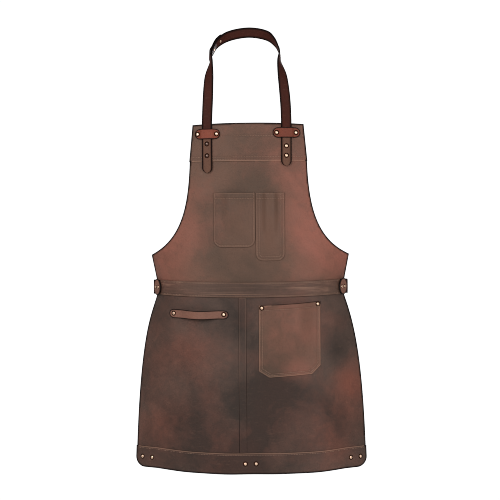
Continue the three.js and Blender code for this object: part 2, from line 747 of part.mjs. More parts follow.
// An anchor is the strap's end: riveted under the side tab, it leaves the apron's side towards the back.
function anchorStrap(side) {
  const edges = [side * ANCHOR_X, side * ANCHOR_END];
  const area = {
    left: Math.min(...edges), right: Math.max(...edges),
    top: waistMiddle - BELT_WIDTH / 2, bottom: waistMiddle + BELT_WIDTH / 2,
  };
  const riveted = toSolid(sheet(area, anchorLayer, BELT_THICKNESS));
  const onSide = [ANCHOR_END - 3, ANCHOR_END].map((x) => {
    const point = onFace(side * x, waistMiddle, beltMiddleLayer).setZ(beltZ);
    return { point, across: upright };
  });
  const end = BELT_TURN_Y - BELT_WIDTH / 2 - BELT_TURN_GAP;
  const free = [beltStation(side * (BELT_SIDE + 3), end - 10), beltStation(side * BELT_SIDE, end)];
  const leaving = ribbon(strapPath([...onSide, ...free]), beltSize, { steps: 8 });
  return toGeometry(riveted.add(toSolid(leaving)));
}

function tabOutline(side) {
  const outline = new THREE.Shape();
  outline.absellipse(side * TAB_X, -waistMiddle, TAB_SPAN / 2, TAB_HEIGHT / 2, 0, Math.PI * 2, false, 0);
  return outline;
}

function tabSpots() {
  for (const [name, side] of [['left', -1], ['right', 1]]) {
    const spread = TAB_SPAN * 0.2;
    const front = tabLayer + HIDE;
    faceSpot(`tab_rivet_${name}_1`, side * (TAB_X - spread), waistMiddle, firstLayer, front);
    faceSpot(`tab_rivet_${name}_2`, side * (TAB_X + spread - 1), waistMiddle, firstLayer, front);
  }
}

const backY = BELT_BACK - NECK_DEPTH;

// One half of the waist strap in plan, from the apron's side to where it runs straight across the back.
function beltStations(side, setback) {
  const half = BELT_WIDTH / 2;
  return [
    beltStation(side * BELT_SIDE, BELT_TURN_Y - half),
    beltStation(side * (BELT_SIDE - 2), BELT_TURN_Y + half),
    beltStation(side * 0.9 * BELT_SIDE, 0.62 * backY),
    beltStation(side * 0.73 * BELT_SIDE, 0.88 * backY - setback),
    beltStation(side * 0.54 * BELT_SIDE, 0.985 * backY - setback),
    beltStation(side * 0.46 * BELT_SIDE, backY - setback),
  ];
}

// The strap narrows to a round end where it turns about the apron's side.
function roundedStart(path) {
  const start = path(0).point;
  const radius = BELT_WIDTH / 2;
  return (share) => {
    const run = Math.min(radius, path(share).point.distanceTo(start));
    return Math.max(radius * 0.2, Math.sqrt(radius ** 2 - (radius - run) ** 2));
  };
}

function boxBetween(low, high) {
  const box = new THREE.BoxGeometry(high.x - low.x, high.y - low.y, high.z - low.z);
  box.translate((low.x + high.x) / 2, (low.y + high.y) / 2, (low.z + high.z) / 2);
  return box;
}

// A round bar along Z at a place in plan.
function uprightBar(x, y, radius, length) {
  const bar = new THREE.CylinderGeometry(radius, radius, length, BAR_SIDES);
  bar.rotateX(Math.PI / 2);
  bar.translate(x, y, beltZ);
  return bar;
}

const foldRadius = BAR_RADIUS + BAR_ROOM + BELT_THICKNESS;
const tailOverFold = foldRadius + BELT_THICKNESS / 2 + TAIL_GAP / 2;
const tailOverStrap = BELT_THICKNESS + TAIL_GAP;
const leftSetback = ROLLER_RADIUS + BELT_THICKNESS / 2 + STRAP_TO_ROLLER - BUCKLE_RISE;
const slotHalf = PRONG_WIDTH / 2 + BAR_ROOM;

// The right half folds round the buckle's heel bar, with a slot for the prong.
function rightBelt() {
  const straight = [beltStation(BUCKLE_X + 50, backY), beltStation(BUCKLE_X, backY)];
  const path = strapPath([...beltStations(1, 0), ...straight]);
  const strap = toSolid(ribbon(path, beltSize, { steps: 40, half: roundedStart(path) }));
  const fold = toSolid(uprightBar(BUCKLE_X, backY, foldRadius, BELT_WIDTH));
  const barHole = toSolid(uprightBar(BUCKLE_X, backY, BAR_RADIUS + BAR_ROOM, BELT_WIDTH + 2));
  const slot = toSolid(boxBetween(
    new THREE.Vector3(BUCKLE_X - foldRadius - 1, backY - foldRadius - 1, beltZ - slotHalf),
    new THREE.Vector3(BUCKLE_X + foldRadius + 3, backY + foldRadius + 1, beltZ + slotHalf),
  ));
  return toGeometry(strap.add(fold).subtract(barHole).subtract(slot));
}

// The left half passes under the roller, over the heel bar and on as the loose tail.
function leftBelt() {
  const under = backY - leftSetback;
  const roller = BUCKLE_X - BUCKLE_LENGTH;
  const path = strapPath([
    ...beltStations(-1, leftSetback),
    beltStation(roller - 25, under),
    beltStation(roller, under),
    beltStation(roller + 9, under + 0.7),
    beltStation(BUCKLE_X - 6, backY + tailOverFold - 0.3),
    beltStation(BUCKLE_X + 3, backY + tailOverFold),
    beltStation(BUCKLE_X + 11, backY + tailOverFold - 1.6),
    beltStation(BUCKLE_X + 21, backY + tailOverStrap),
    beltStation(TAIL_END_X - 30, backY + tailOverStrap),
    beltStation(TAIL_END_X, backY + tailOverStrap),
  ]);
  const strap = toSolid(ribbon(path, beltSize, { steps: 72, half: roundedStart(path) }));
  const slot = toSolid(boxBetween(
    new THREE.Vector3(BUCKLE_X - 18, backY - 4, beltZ - slotHalf),
    new THREE.Vector3(BUCKLE_X + 3.5, backY + tailOverFold + 4, beltZ + slotHalf),
  ));
  return toGeometry(strap.subtract(slot));
}

// The frame: a round heel bar and end bar between two side rails.
function buckleFrame() {
  const railInner = BELT_WIDTH / 2 + RAIL_ROOM;
  const span = 2 * railInner + RAIL_THICKNESS;
  const rail = new THREE.Shape();
  const lean = Math.atan2(BUCKLE_RISE, -BUCKLE_LENGTH);
  rail.absarc(0, 0, RAIL_RADIUS, lean + Math.PI / 2, lean - Math.PI / 2, false);
  rail.absarc(-BUCKLE_LENGTH, BUCKLE_RISE, RAIL_RADIUS, lean - Math.PI / 2, lean + Math.PI / 2, false);
  const options = { depth: RAIL_THICKNESS, bevelEnabled: false, curveSegments: 6 };
  let frame = toSolid(uprightBar(BUCKLE_X, backY, BAR_RADIUS, span));
  frame = frame.add(toSolid(uprightBar(BUCKLE_X - BUCKLE_LENGTH, backY + BUCKLE_RISE, BAR_RADIUS, span)));
  for (const low of [railInner, -railInner - RAIL_THICKNESS]) {
    const side = new THREE.ExtrudeGeometry(rail, options);
    side.translate(BUCKLE_X, backY, beltZ + low);
    frame = frame.add(toSolid(side));
  }
  return toGeometry(frame);
}

function buckleRoller() {
  const half = BELT_WIDTH / 2 + RAIL_ROOM - SEAM_GAP;
  const inner = BAR_RADIUS + BAR_ROOM;
  const profile = [
    new THREE.Vector2(inner, -half),
    new THREE.Vector2(ROLLER_RADIUS, -half),
    new THREE.Vector2(ROLLER_RADIUS, half),
    new THREE.Vector2(inner, half),
    new THREE.Vector2(inner, -half),
  ];
  const roller = new THREE.LatheGeometry(profile, BAR_SIDES);
  roller.rotateX(Math.PI / 2);
  roller.translate(BUCKLE_X - BUCKLE_LENGTH, backY + BUCKLE_RISE, beltZ);
  return closed(roller);
}

// The prong rings the heel bar and rests on the roller.
function buckleProng() {
  const ringRadius = BAR_RADIUS + BAR_ROOM + 1.7;
  const ring = toSolid(uprightBar(BUCKLE_X, backY, ringRadius, PRONG_WIDTH));
  const hole = toSolid(uprightBar(BUCKLE_X, backY, BAR_RADIUS + BAR_ROOM, PRONG_WIDTH + 2));
  const half = PRONG_THICKNESS / 2;
  const root = ringRadius - half;
  const tipRise = BUCKLE_RISE + ROLLER_RADIUS + PRONG_GAP + half;
  const finger = new THREE.Shape();
  finger.moveTo(0, root + half);
  finger.lineTo(-BUCKLE_LENGTH - 3, tipRise + half);
  finger.lineTo(-BUCKLE_LENGTH - 5, tipRise - half / 2);
  finger.lineTo(-BUCKLE_LENGTH - 3, tipRise - half);
  finger.lineTo(0, root - half);
  const bar = new THREE.ExtrudeGeometry(finger, { depth: PRONG_WIDTH, bevelEnabled: false });
  bar.translate(BUCKLE_X, backY, beltZ - PRONG_WIDTH / 2);
  return toGeometry(ring.add(toSolid(bar)).subtract(hole));
}

// A leather loop that slides along the doubled strap and holds the tail down.
function beltKeeper() {
  const innerHalf = BELT_WIDTH / 2 + BELT_KEEPER_ROOM;
  const inside = backY - BELT_THICKNESS / 2 - BELT_KEEPER_ROOM;
  const outside = backY + tailOverStrap + BELT_THICKNESS / 2 + BELT_KEEPER_ROOM;
  const outer = toSolid(boxBetween(
    new THREE.Vector3(BELT_KEEPER_X, inside - HIDE, beltZ - innerHalf - HIDE),
    new THREE.Vector3(BELT_KEEPER_X + BELT_KEEPER_WIDTH, outside + HIDE, beltZ + innerHalf + HIDE),
  ));
  const hole = toSolid(boxBetween(
    new THREE.Vector3(BELT_KEEPER_X - 1, inside, beltZ - innerHalf),
    new THREE.Vector3(BELT_KEEPER_X + BELT_KEEPER_WIDTH + 1, outside, beltZ + innerHalf),
  ));
  return toGeometry(outer.subtract(hole));
}

function addWaistStrap() {
  for (const [name, side] of [['left', -1], ['right', 1]]) {
    const tab = patch(tabOutline(side), tabLayer, HIDE);
    addPiece(`side_tab_${name}`, punched(tab), HIDE_RED);
    addPiece(`waist_strap_anchor_${name}`, punched(anchorStrap(side)), STRAP_RED);
  }
  addPiece('waist_strap_right', rightBelt(), STRAP_RED);
  addPiece('waist_strap_left', leftBelt(), STRAP_RED);
  addPiece('buckle_frame', buckleFrame(), STEEL);
  addPiece('buckle_roller', buckleRoller(), STEEL);
  addPiece('buckle_prong', buckleProng(), STEEL);
  addPiece('belt_keeper', beltKeeper(), HIDE_RED);
}

// ---- Assembly ----

keeperSpots();
strapSpots();
skirtSpots();
tabSpots();
addBib();
addNeckStrap();
addWaistBand();
addSkirt();
addSkirtFittings();
addWaistStrap();
for (const spot of rivetSpots) {
  addRivet(spot);
}

export default model;
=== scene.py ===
"""A leather welding apron, dressed over its CAD frame. Metres, +Z up, the apron's face towards -Y."""
import json
import math

import bmesh
import bpy
import numpy as np
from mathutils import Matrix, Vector
from mathutils.geometry import delaunay_2d_cdt


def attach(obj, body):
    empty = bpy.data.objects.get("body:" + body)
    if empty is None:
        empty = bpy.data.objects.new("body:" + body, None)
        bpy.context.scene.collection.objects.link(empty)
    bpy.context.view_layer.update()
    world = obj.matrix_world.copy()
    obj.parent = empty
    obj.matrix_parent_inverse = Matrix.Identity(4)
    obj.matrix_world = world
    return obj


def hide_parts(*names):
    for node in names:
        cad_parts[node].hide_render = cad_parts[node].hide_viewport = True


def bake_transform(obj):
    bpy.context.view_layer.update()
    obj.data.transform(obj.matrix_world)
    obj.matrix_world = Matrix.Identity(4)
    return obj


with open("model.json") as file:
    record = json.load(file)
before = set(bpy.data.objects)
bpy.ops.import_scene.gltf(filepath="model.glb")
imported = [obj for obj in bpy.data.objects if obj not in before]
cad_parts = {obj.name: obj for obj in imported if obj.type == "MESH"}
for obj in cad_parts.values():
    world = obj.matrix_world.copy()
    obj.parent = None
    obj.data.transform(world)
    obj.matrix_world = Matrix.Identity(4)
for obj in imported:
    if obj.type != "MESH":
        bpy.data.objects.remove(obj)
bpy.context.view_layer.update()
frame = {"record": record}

MM = 0.001

# ---- Sizes of the real piece, in millimetres, as in the CAD model, with the hide's waves and bows added ----

NECK_DEPTH = 110
NECK_RISE = 261
APRON_LENGTH = 914
HIDE = 2
SEAM_GAP = 0.5
WAIST_HALF = 250
SWEEP_AT_TOP = 84
SWEEP_AT_HEM = 44
WAIST_PULL = 30
WAIST_PULL_REACH = 60
WAIST_SAG = 7
WAIST_SAG_REACH = 90
HEM_BOW = 8
HEM_LIFT = 4
SKIRT_FOLD = 3.0
SKIRT_RIPPLE = 1.6
CHEST_DIP = 0.9
CHEST_RIPPLE = 0.6
WAIST_DROP = 408
WAIST_HEIGHT = 40
WAIST_LAP = 12
WAIST_BOTTOM = WAIST_DROP + WAIST_HEIGHT
WAIST_LAYER = HIDE + 1.6
SKIRT_TOP = WAIST_DROP + WAIST_LAP + 1.5
BIB_TOP_HALF = 145
BIB_CHEST_HALF = 154
BIB_CHEST_DROP = 94
BIB_CORNER_HALF = WAIST_HALF + 15
BIB_CORNER_DROP = WAIST_DROP - 67
TOP_BAND_HEIGHT = 97
TOP_BOW = 3.5
TOP_SEAM_DROP = 31
BAND_SEAM_INSETS = (5, 11)
WAIST_SEAM_INSETS = (4, 36)
HEM_SEAM_INSET = 5
THREAD_INSET = 3
SEAM_END = 5
SKIRT_HEM_HALF = WAIST_HALF + 62
SKIRT_FLARE_REACH = 165
SEAM_X = -17
SEAM_STRIP_WIDTH = 20
STRIP_THICKNESS = 0.6
HEM_HEIGHT = 55
HEM_CORNER = 25
HEM_TOP = APRON_LENGTH - HEM_HEIGHT

STRAP_WIDTH = 27.5
STRAP_THICKNESS = 3
LEFT_STRAP_X = -106
RIGHT_STRAP_X = 100
NECK_RADIUS = 91
NECK_SHIFT = -6
FOLD_FOOT = -7
FOLD_RISE = 4
LEFT_TAIL_DROP = 127
RIGHT_END_DROP = 110
NECK_FACETS = 64
NECK_STEPS = 32
LAP_START = 18 / NECK_FACETS
LAP_END = 27 / NECK_FACETS
LAP_RAISE = STRAP_THICKNESS + 1
KEEPER_HEIGHT = 27
KEEPER_RIVET_REACH = STRAP_WIDTH / 2 + 10.9
# Each keeper is (side, x, drop, reach beyond its left rivet, reach beyond its right rivet).
KEEPERS = (("left", LEFT_STRAP_X, 25, 7.4, 9.4), ("right", RIGHT_STRAP_X, 23, 10.4, 11.4))

CHEST_POCKET = dict(left=-91, right=17.8, top=180, bottom=321, corner=21, swell=9, sewn=(4,))
PEN_POCKET = dict(left=19.4, right=94.8, top=181, bottom=355, corner=18, swell=10, sewn=(4, 10))
TOOL_POCKET = dict(left=26, right=186, top=463, bottom=663, corner=22, swell=14, sewn=(5, 9))
TOOL_POCKET_SLOPE = 7
STITCH_MARGIN = 13
POCKET_HEM = 15
TOOL_POCKET_HEM = 14
MOUTH_ROLL = 0.8
SEAM_CORNER = 4
# A pocket's front stands fully out from these shares of its width and height.
SWELL_FROM_SIDE = 0.42
SWELL_FROM_BOTTOM = 0.7
LOOP_LEFT = -211
LOOP_RIGHT = -53
LOOP_DROP = 496
LOOP_HEIGHT = 24
LOOP_BOW = 14
LOOP_SAG = 2  # half of the CAD solid's
LOOP_RIVET_INSET = 12.5

BELT_WIDTH = 38
BELT_THICKNESS = 2.5
BACK_Y = 236 - NECK_DEPTH
BELT_SIDE = WAIST_HALF + 7
BELT_TURN_Y = 36
TAB_HEIGHT = 46
TAB_X = WAIST_HALF - 8.5
TAB_SPAN = 21
ANCHOR_X = WAIST_HALF - 14
ANCHOR_END = WAIST_HALF + 5
BUCKLE_X = 10
BUCKLE_LENGTH = 32
BUCKLE_RISE = 4.5
BAR_RADIUS = 2
BAR_ROOM = 0.5
RAIL_THICKNESS = 3.5
RAIL_ROOM = 1.5
RAIL_CORNER = 3
ROLLER_RADIUS = 3.2
ROLLER_BORE = 2.5
PRONG_THICKNESS = 3
PRONG_GAP = 1.4
PRONG_HALF = (1.7, 0.9)
PRONG_SLOT_HALF = 2.3
TAIL_LENGTH = 82
TAIL_OVER_FOLD = 6.65
TAIL_OVER_STRAP = 3.3
LEFT_SETBACK = 0.9
BELT_KEEPER_X = BUCKLE_X + 36
BELT_KEEPER_WIDTH = 14
BELT_KEEPER_ROOM = 0.6

CAP_RADIUS = 4.7
CAP_HEIGHT = 2.4
RIVET_RING = 1.9
TAB_RIVET_RING = 0.3
RIVET_GAP = 0.4  # half of the CAD solid's

FIRST = 0
SECOND = HIDE + SEAM_GAP
THIRD = 2 * SECOND
ANCHOR_LAYER = WAIST_LAYER + HIDE + SEAM_GAP
TAB_LAYER = ANCHOR_LAYER + BELT_THICKNESS + SEAM_GAP
WAIST_MIDDLE = WAIST_DROP + WAIST_HEIGHT / 2
BELT_Z = -NECK_RISE - WAIST_MIDDLE

MESH_STEP = 5
FINE_STEP = 4
FINER_STEP = 3
FINEST_STEP = 2
RIM_ROUNDING = 0.5
# Edge darkness: dark edges are the waxed edge with painted edge shade, and pale rubbed edges carry a painted
# highlight.
DARK_RIM = 2.4
WIDE_DARK_RIM = 3.6
THIN_DARK_RIM = 1.5
RUBBED_AND_HIGHLIGHT_REACH = 1.8
RUBBED_AND_HIGHLIGHT = 0.1
WAIST_RIM = 0.4
POCKET_RIM = 0.45
# A pocket mouth's dark edge is a painted shadow at the opening.
MOUTH_SHADOW_RIM = 0.9
TOOL_POCKET_RIM = 0.25
PALE_REACH = 8
STRAP_DARK_RIM = 4
STRAP_MOTTLE = 0.3
GROOVE_WIDTH = 1.1
SEAM_SHADE_WIDTH = 2.4
STITCH_PITCH = 4.2
STITCH_LENGTH = 3.2
THREAD_RADIUS = 0.42
GROOVE_DEPTH = 0.35
SEAM_ROWS = (-1.4, 0, 1.4)
SEAM_CLEAR = 2.2
RIM_CLEAR = 0.9

# ---- Camera and studio, in metres and degrees, with the lens in millimetres ----

CAMERA_DISTANCE = 3.0
CAMERA_TURN = 2.5
CAMERA_ROLL = 0.35
CAMERA_HEIGHT = -0.591
CAMERA_LENS = 82.4
CAMERA_ASIDE = 0.004
PIXEL_SOFTNESS = 0.9
WORLD_LIGHT = 0.35
WORLD_SEEN = 1.05
LIGHT_SIZE = 1.8
LIGHT_TARGET = (0, 0, -0.6)
FLOOR_REACH = 3.0
FLOOR_BACK = 1.4
FLOOR_Z = -1.8

bodies = frame["record"]["behaviour"]["bodies"]
body_of_node = {node: body for body, nodes in bodies.items() for node in nodes}
slot_of_node = {part["node"]: part["material_slot"] for part in frame["record"]["subparts"]}


# ---- The face of the apron ----


def smoothstep(value, low, high):
    share = np.clip((np.asarray(value, float) - low) / (high - low), 0, 1)
    return share * share * (3 - 2 * share)


def bell(distance, reach):
    return np.exp(-((distance / reach) ** 2))


def drape(x, drop):
    """Soft waves of the hanging hide, out of its even sweep."""
    below = smoothstep(drop, WAIST_BOTTOM, APRON_LENGTH)
    folds = SKIRT_FOLD * np.sin(x / 41 + 0.6) + SKIRT_RIPPLE * np.sin(x / 19 + drop / 160 + 2.0)
    chest = smoothstep(drop, 20, 160) * (1 - smoothstep(drop, 300, 400))
    dips = CHEST_DIP * np.sin(x / 37 + drop / 70) + CHEST_RIPPLE * np.sin(x / 24 - drop / 45 + 1.3)
    return below * folds + chest * dips


def sweep_at(x, drop):
    """How far the face bends back towards the wearer's side."""
    share = np.abs(x) / WAIST_HALF
    sweep = SWEEP_AT_TOP + (SWEEP_AT_HEM - SWEEP_AT_TOP) * drop / APRON_LENGTH
    pull = WAIST_PULL * bell(drop - WAIST_MIDDLE, WAIST_PULL_REACH)
    return sweep * share**3 + pull * share**10 + drape(x, drop)


def sag_at(x, drop):
    """How far the waist and the hem hang below a level line."""
    across = np.maximum(0, 1 - (x / WAIST_HALF) ** 2)
    waist = WAIST_SAG * across * bell(drop - WAIST_MIDDLE, WAIST_SAG_REACH)
    hem = (HEM_BOW * across - HEM_LIFT) * smoothstep(drop, WAIST_BOTTOM, APRON_LENGTH)
    return waist + hem


def normal_at(x, drop):
    """Unit directions straight out of the face."""
    step = 0.5
    across = (sweep_at(x + step, drop) - sweep_at(x - step, drop)) / (2 * step)
    down = (sweep_at(x, drop + step) - sweep_at(x, drop - step)) / (2 * step)
    normal = np.stack([across, -np.ones_like(across), -down], axis=-1)
    return normal / np.linalg.norm(normal, axis=-1, keepdims=True)


def normal_at_spot(x, drop):
    return normal_at(np.array([float(x)]), np.array([float(drop)]))[0]


def face(x, drop, out):
    """Points in metres, at x and at a drop below the bib's top edge, standing out of the face."""
    x = np.asarray(x, float)
    drop = np.asarray(drop, float)
    point = np.stack([x, sweep_at(x, drop) - NECK_DEPTH, -NECK_RISE - drop - sag_at(x, drop)], axis=-1)
    return (point + normal_at(x, drop) * np.asarray(out, float)[..., None]) * MM


# ---- Colour patches of the waxed hide: where it is warmer and where it is darker ----

# Each patch is (x, drop, reach, strength).
WARM_PATCHES = [
    (-170, 150, 60, 0.35),
    (150, 110, 80, 0.7),
    (200, 260, 90, 0.85),
    (230, 350, 80, 1.0),
    (-220, 330, 80, 0.4),
    (-110, 575, 80, 0.5),
    (-230, 780, 100, 0.45),
    (-20, 885, 90, 0.9),
    (120, 540, 60, 0.2),
    (110, 645, 60, 0.55),
    (270, 690, 60, 0.7),
    (240, 820, 80, 0.55),
]
DARK_PATCHES = [
    (20, 20, 60, 0.35),
    (110, 24, 40, 0.5),
    (30, 130, 100, 0.4),
    (-60, 240, 90, 0.3),
    (0, 390, 100, 0.3),
    (0, 440, 110, 0.35),
    (-240, 480, 60, 0.2),
    (-30, 520, 80, 0.4),
    (60, 700, 70, 0.6),
    (0, 800, 170, 0.95),
    (-150, 840, 110, 0.5),
    (200, 780, 70, 0.35),
    (220, 600, 40, 0.5),
    (-290, 680, 40, 0.4),
]


def patches_at(patches, x, drop):
    total = np.zeros_like(x)
    for middle_x, middle_drop, reach, strength in patches:
        away = np.hypot(x - middle_x, drop - middle_drop)
        total += strength * bell(away, reach)
    return np.clip(total, 0, 1)


# ---- Outlines, as (x, drop) corners running once round a piece ----


def arc(x, drop, radius, start, end, steps=10):
    turns = [math.radians(start + (end - start) * i / steps) for i in range(steps + 1)]
    return [(x + radius * math.cos(t), drop - radius * math.sin(t)) for t in turns]


def bezier(a, b, c, d, steps=40):
    points = []
    for i in range(steps + 1):
        t = i / steps
        weights = ((1 - t) ** 3, 3 * t * (1 - t) ** 2, 3 * t * t * (1 - t), t**3)
        points.append(tuple(sum(w * p[k] for w, p in zip(weights, (a, b, c, d))) for k in (0, 1)))
    return points


def stadium(left, right, middle, height):
    r = height / 2
    return arc(right - r, middle, r, -90, 90) + arc(left + r, middle, r, 90, 270)


def mirrored(points):
    return [(-x, drop) for x, drop in reversed(points)]


def bowed_top():
    """The right half of the bib's top edge, which rises a little to its middle."""
    shares = [i / 8 for i in range(1, 9)]
    return [(BIB_TOP_HALF * share, -TOP_BOW * (1 - share * share)) for share in shares]


def bib_outline():
    def between(share):
        return BIB_CHEST_DROP + (BIB_CORNER_DROP - BIB_CHEST_DROP) * share

    armhole = bezier(
        (BIB_CHEST_HALF, BIB_CHEST_DROP),
        (BIB_CHEST_HALF + 4, between(0.53)),
        (BIB_CHEST_HALF + 28, between(0.85)),
        (BIB_CORNER_HALF, BIB_CORNER_DROP),
    )
    right = bowed_top() + armhole + [(WAIST_HALF, WAIST_DROP + WAIST_LAP)]
    return right + mirrored(right)


def top_band_outline():
    share = TOP_BAND_HEIGHT / BIB_CHEST_DROP
    low_half = BIB_TOP_HALF + (BIB_CHEST_HALF - BIB_TOP_HALF) * share
    right = bowed_top() + [(low_half, TOP_BAND_HEIGHT)]
    return right + mirrored(right)


def pocket_outline(p):
    low = p["bottom"] - p["corner"]
    left = arc(p["left"] + p["corner"], low, p["corner"], 180, 270)
    right = arc(p["right"] - p["corner"], low, p["corner"], 270, 360)
    return [(p["left"], p["top"])] + left + right + [(p["right"], p["top"])]


def tool_pocket_outline(p, inset=0):
    left = p["left"] + inset
    right = p["right"] - inset
    bottom = p["bottom"] - inset
    cut = p["corner"] - inset * 0.4
    return [
        (left, p["top"] + TOOL_POCKET_SLOPE),
        (left, bottom - cut * 0.75),
        (left + cut * 1.25, bottom),
        (right - cut, bottom - TOOL_POCKET_SLOPE),
        (right, bottom - TOOL_POCKET_SLOPE - cut),
        (right, p["top"]),
    ]


def skirt_half(drop):
    below = max(0, drop - WAIST_BOTTOM)
    return SKIRT_HEM_HALF - (SKIRT_HEM_HALF - WAIST_HALF) * math.exp(-below / SKIRT_FLARE_REACH)


def skirt_side(top):
    """The right side's outline from a drop down to the hem's rounded corner."""
    corner_drop = APRON_LENGTH - HEM_CORNER
    steps = max(2, round((corner_drop - top) / 12))
    drops = [top + (corner_drop - top) * i / steps for i in range(steps)]
    side = [(skirt_half(d), d) for d in drops]
    return side + arc(skirt_half(corner_drop) - HEM_CORNER, corner_drop, HEM_CORNER, 0, -90)


def skirt_outline(top):
    right = skirt_side(top)
    return right + mirrored(right)


def skirt_panel_outline(side):
    edge = skirt_side(SKIRT_TOP)
    seam = side * SEAM_X + SEAM_GAP / 2
    outline = edge + [(seam, APRON_LENGTH), (seam, SKIRT_TOP)]
    return outline if side > 0 else mirrored(outline)


# ---- How dark a piece's edge is, from 0 rubbed pale with a painted highlight to 1 thick with wax and painted edge shade ----


def even_rim(darkness):
    return lambda x, drop: np.full(len(x), float(darkness))


def dark_except(top, bottom, half):
    """A dark edge with painted edge shade, but for the stretch between two drops and within a half width,
    which is pale with a painted highlight.
    """
    return lambda x, drop: np.where((drop > top) & (drop < bottom) & (np.abs(x) < half), RUBBED_AND_HIGHLIGHT, 1.0)


ALL_DARK = even_rim(1)


# ---- Meshes ----


def resampled(points, step, closed=True):
    """The same line with no gap between neighbours longer than a step; corners are kept."""
    ends = points[1:] + points[:1] if closed else points[1:]
    line = []
    for a, b in zip(points, ends):
        length = math.dist(a, b)
        if length < 1e-6:
            continue
        count = max(1, math.ceil(length / step))
        line += [(a[0] + (b[0] - a[0]) * i / count, a[1] + (b[1] - a[1]) * i / count) for i in range(count)]
    if not closed:
        line.append(points[-1])
    return np.array(line)


def inset_ring(ring, distance):
    """Moves each corner of a closed ring inwards. The ring may run either way round."""
    before = ring - np.roll(ring, 1, axis=0)
    after = np.roll(ring, -1, axis=0) - ring
    before /= np.linalg.norm(before, axis=1, keepdims=True)
    after /= np.linalg.norm(after, axis=1, keepdims=True)
    along = before + after
    along /= np.linalg.norm(along, axis=1, keepdims=True)
    inward = np.stack([-along[:, 1], along[:, 0]], axis=1)
    following = np.roll(ring, -1, axis=0)
    area = 0.5 * np.sum(ring[:, 0] * following[:, 1] - following[:, 0] * ring[:, 1])
    lean = np.clip(np.sum(inward * np.stack([-after[:, 1], after[:, 0]], axis=1), axis=1), 0.5, 1)
    return ring + inward * np.sign(area) * (distance / lean)[:, None]


def distance_to(line, points, closed=False):
    """Distance from each point to a line of corners."""
    starts = line if closed else line[:-1]
    ends = np.roll(line, -1, axis=0) if closed else line[1:]
    best = np.full(len(points), 1e9)
    for a, b in zip(starts, ends):
        run = b - a
        t = np.clip(((points - a) @ run) / max(run @ run, 1e-9), 0, 1)
        best = np.minimum(best, np.linalg.norm(points - (a + t[:, None] * run), axis=1))
    return best


def inside(ring, points):
    x, y = points[:, 0], points[:, 1]
    within = np.zeros(len(points), bool)
    for (ax, ay), (bx, by) in zip(ring, np.roll(ring, -1, axis=0)):
        crosses = (ay > y) != (by > y)
        if ay == by:
            continue
        within ^= crosses & (x < (bx - ax) * (y - ay) / (by - ay) + ax)
    return within


def grid_inside(ring, step, seams):
    """Points that fill a ring: an even grid, and close rows beside each seam."""
    low, high = ring.min(axis=0), ring.max(axis=0)
    xs = np.arange(low[0] + step / 2, high[0], step)
    ys = np.arange(low[1] + step / 2, high[1], step)
    grid = np.array([(x, y) for x in xs for y in ys]) if len(xs) and len(ys) else np.zeros((0, 2))
    grid = grid[inside(ring, grid)]
    grid = grid[distance_to(ring, grid, closed=True) > step * 0.45]
    rows = []
    for seam in seams:
        line = resampled([tuple(p) for p in seam], step, closed=False)
        run = np.gradient(line, axis=0)
        side = np.stack([-run[:, 1], run[:, 0]], axis=1)
        side /= np.linalg.norm(side, axis=1, keepdims=True)
        rows += [line + side * reach for reach in SEAM_ROWS]
        grid = grid[distance_to(line, grid) > SEAM_CLEAR]
    if rows:
        near = np.concatenate(rows)
        near = near[inside(ring, near)]
        near = near[distance_to(ring, near, closed=True) > RIM_CLEAR]
        grid = np.concatenate([grid, near])
    return grid


def add_mesh(name, vertices, faces, shares=None):
    """A closed mesh, with a share of each kind of colouring at every corner."""
    mesh = bpy.data.meshes.new(name)
    mesh.from_pydata([tuple(v) for v in vertices], [], faces)
    mesh.update()
    for label, values in (shares or {}).items():
        give_share(mesh, label, values)
    mesh.shade_smooth()
    piece = bpy.data.objects.new(name, mesh)
    bpy.context.scene.collection.objects.link(piece)
    return piece


def give_share(mesh, label, values):
    layer = mesh.attributes.new(label, "FLOAT", "POINT")
    layer.data.foreach_set("value", np.asarray(values, np.float32))


def fixed_normals(piece):
    """Turns every face of a closed piece outwards."""
    work = bmesh.new()
    work.from_mesh(piece.data)
    bmesh.ops.recalc_face_normals(work, faces=work.faces)
    work.to_mesh(piece.data)
    work.free()
    return piece


def ring_faces(rows, sides, closed=False):
    """Faces between rings of corners, with a cap at both ends unless the last ring meets the first."""
    faces = []
    for row in range(rows if closed else rows - 1):
        following = (row + 1) % rows
        for k in range(sides):
            j = (k + 1) % sides
            faces.append((row * sides + k, row * sides + j, following * sides + j, following * sides + k))
    if not closed:
        faces.append(tuple(range(sides)))
        faces.append(tuple((rows - 1) * sides + k for k in range(sides)))
    return faces


def runs_along(points):
    """The length of a line from its start to each of its points."""
    return np.concatenate([[0], np.cumsum(np.linalg.norm(np.diff(points, axis=0), axis=1))])


def tile_outline(ring, fill):
    """Triangles that fill a ring, with the number that each ring corner has among the points."""
    count = len(ring)
    loop = [(i, (i + 1) % count) for i in range(count)]
    corners = [Vector(p) for p in np.concatenate([ring, fill])]
    made_points, _, triangles, sources, *_ = delaunay_2d_cdt(corners, loop, [], 1, 1e-4)
    number = {source: new for new, group in enumerate(sources) for source in group}
    return np.array([tuple(p) for p in made_points]), triangles, [number[i] for i in range(count)]


# ---- Leather pieces ----


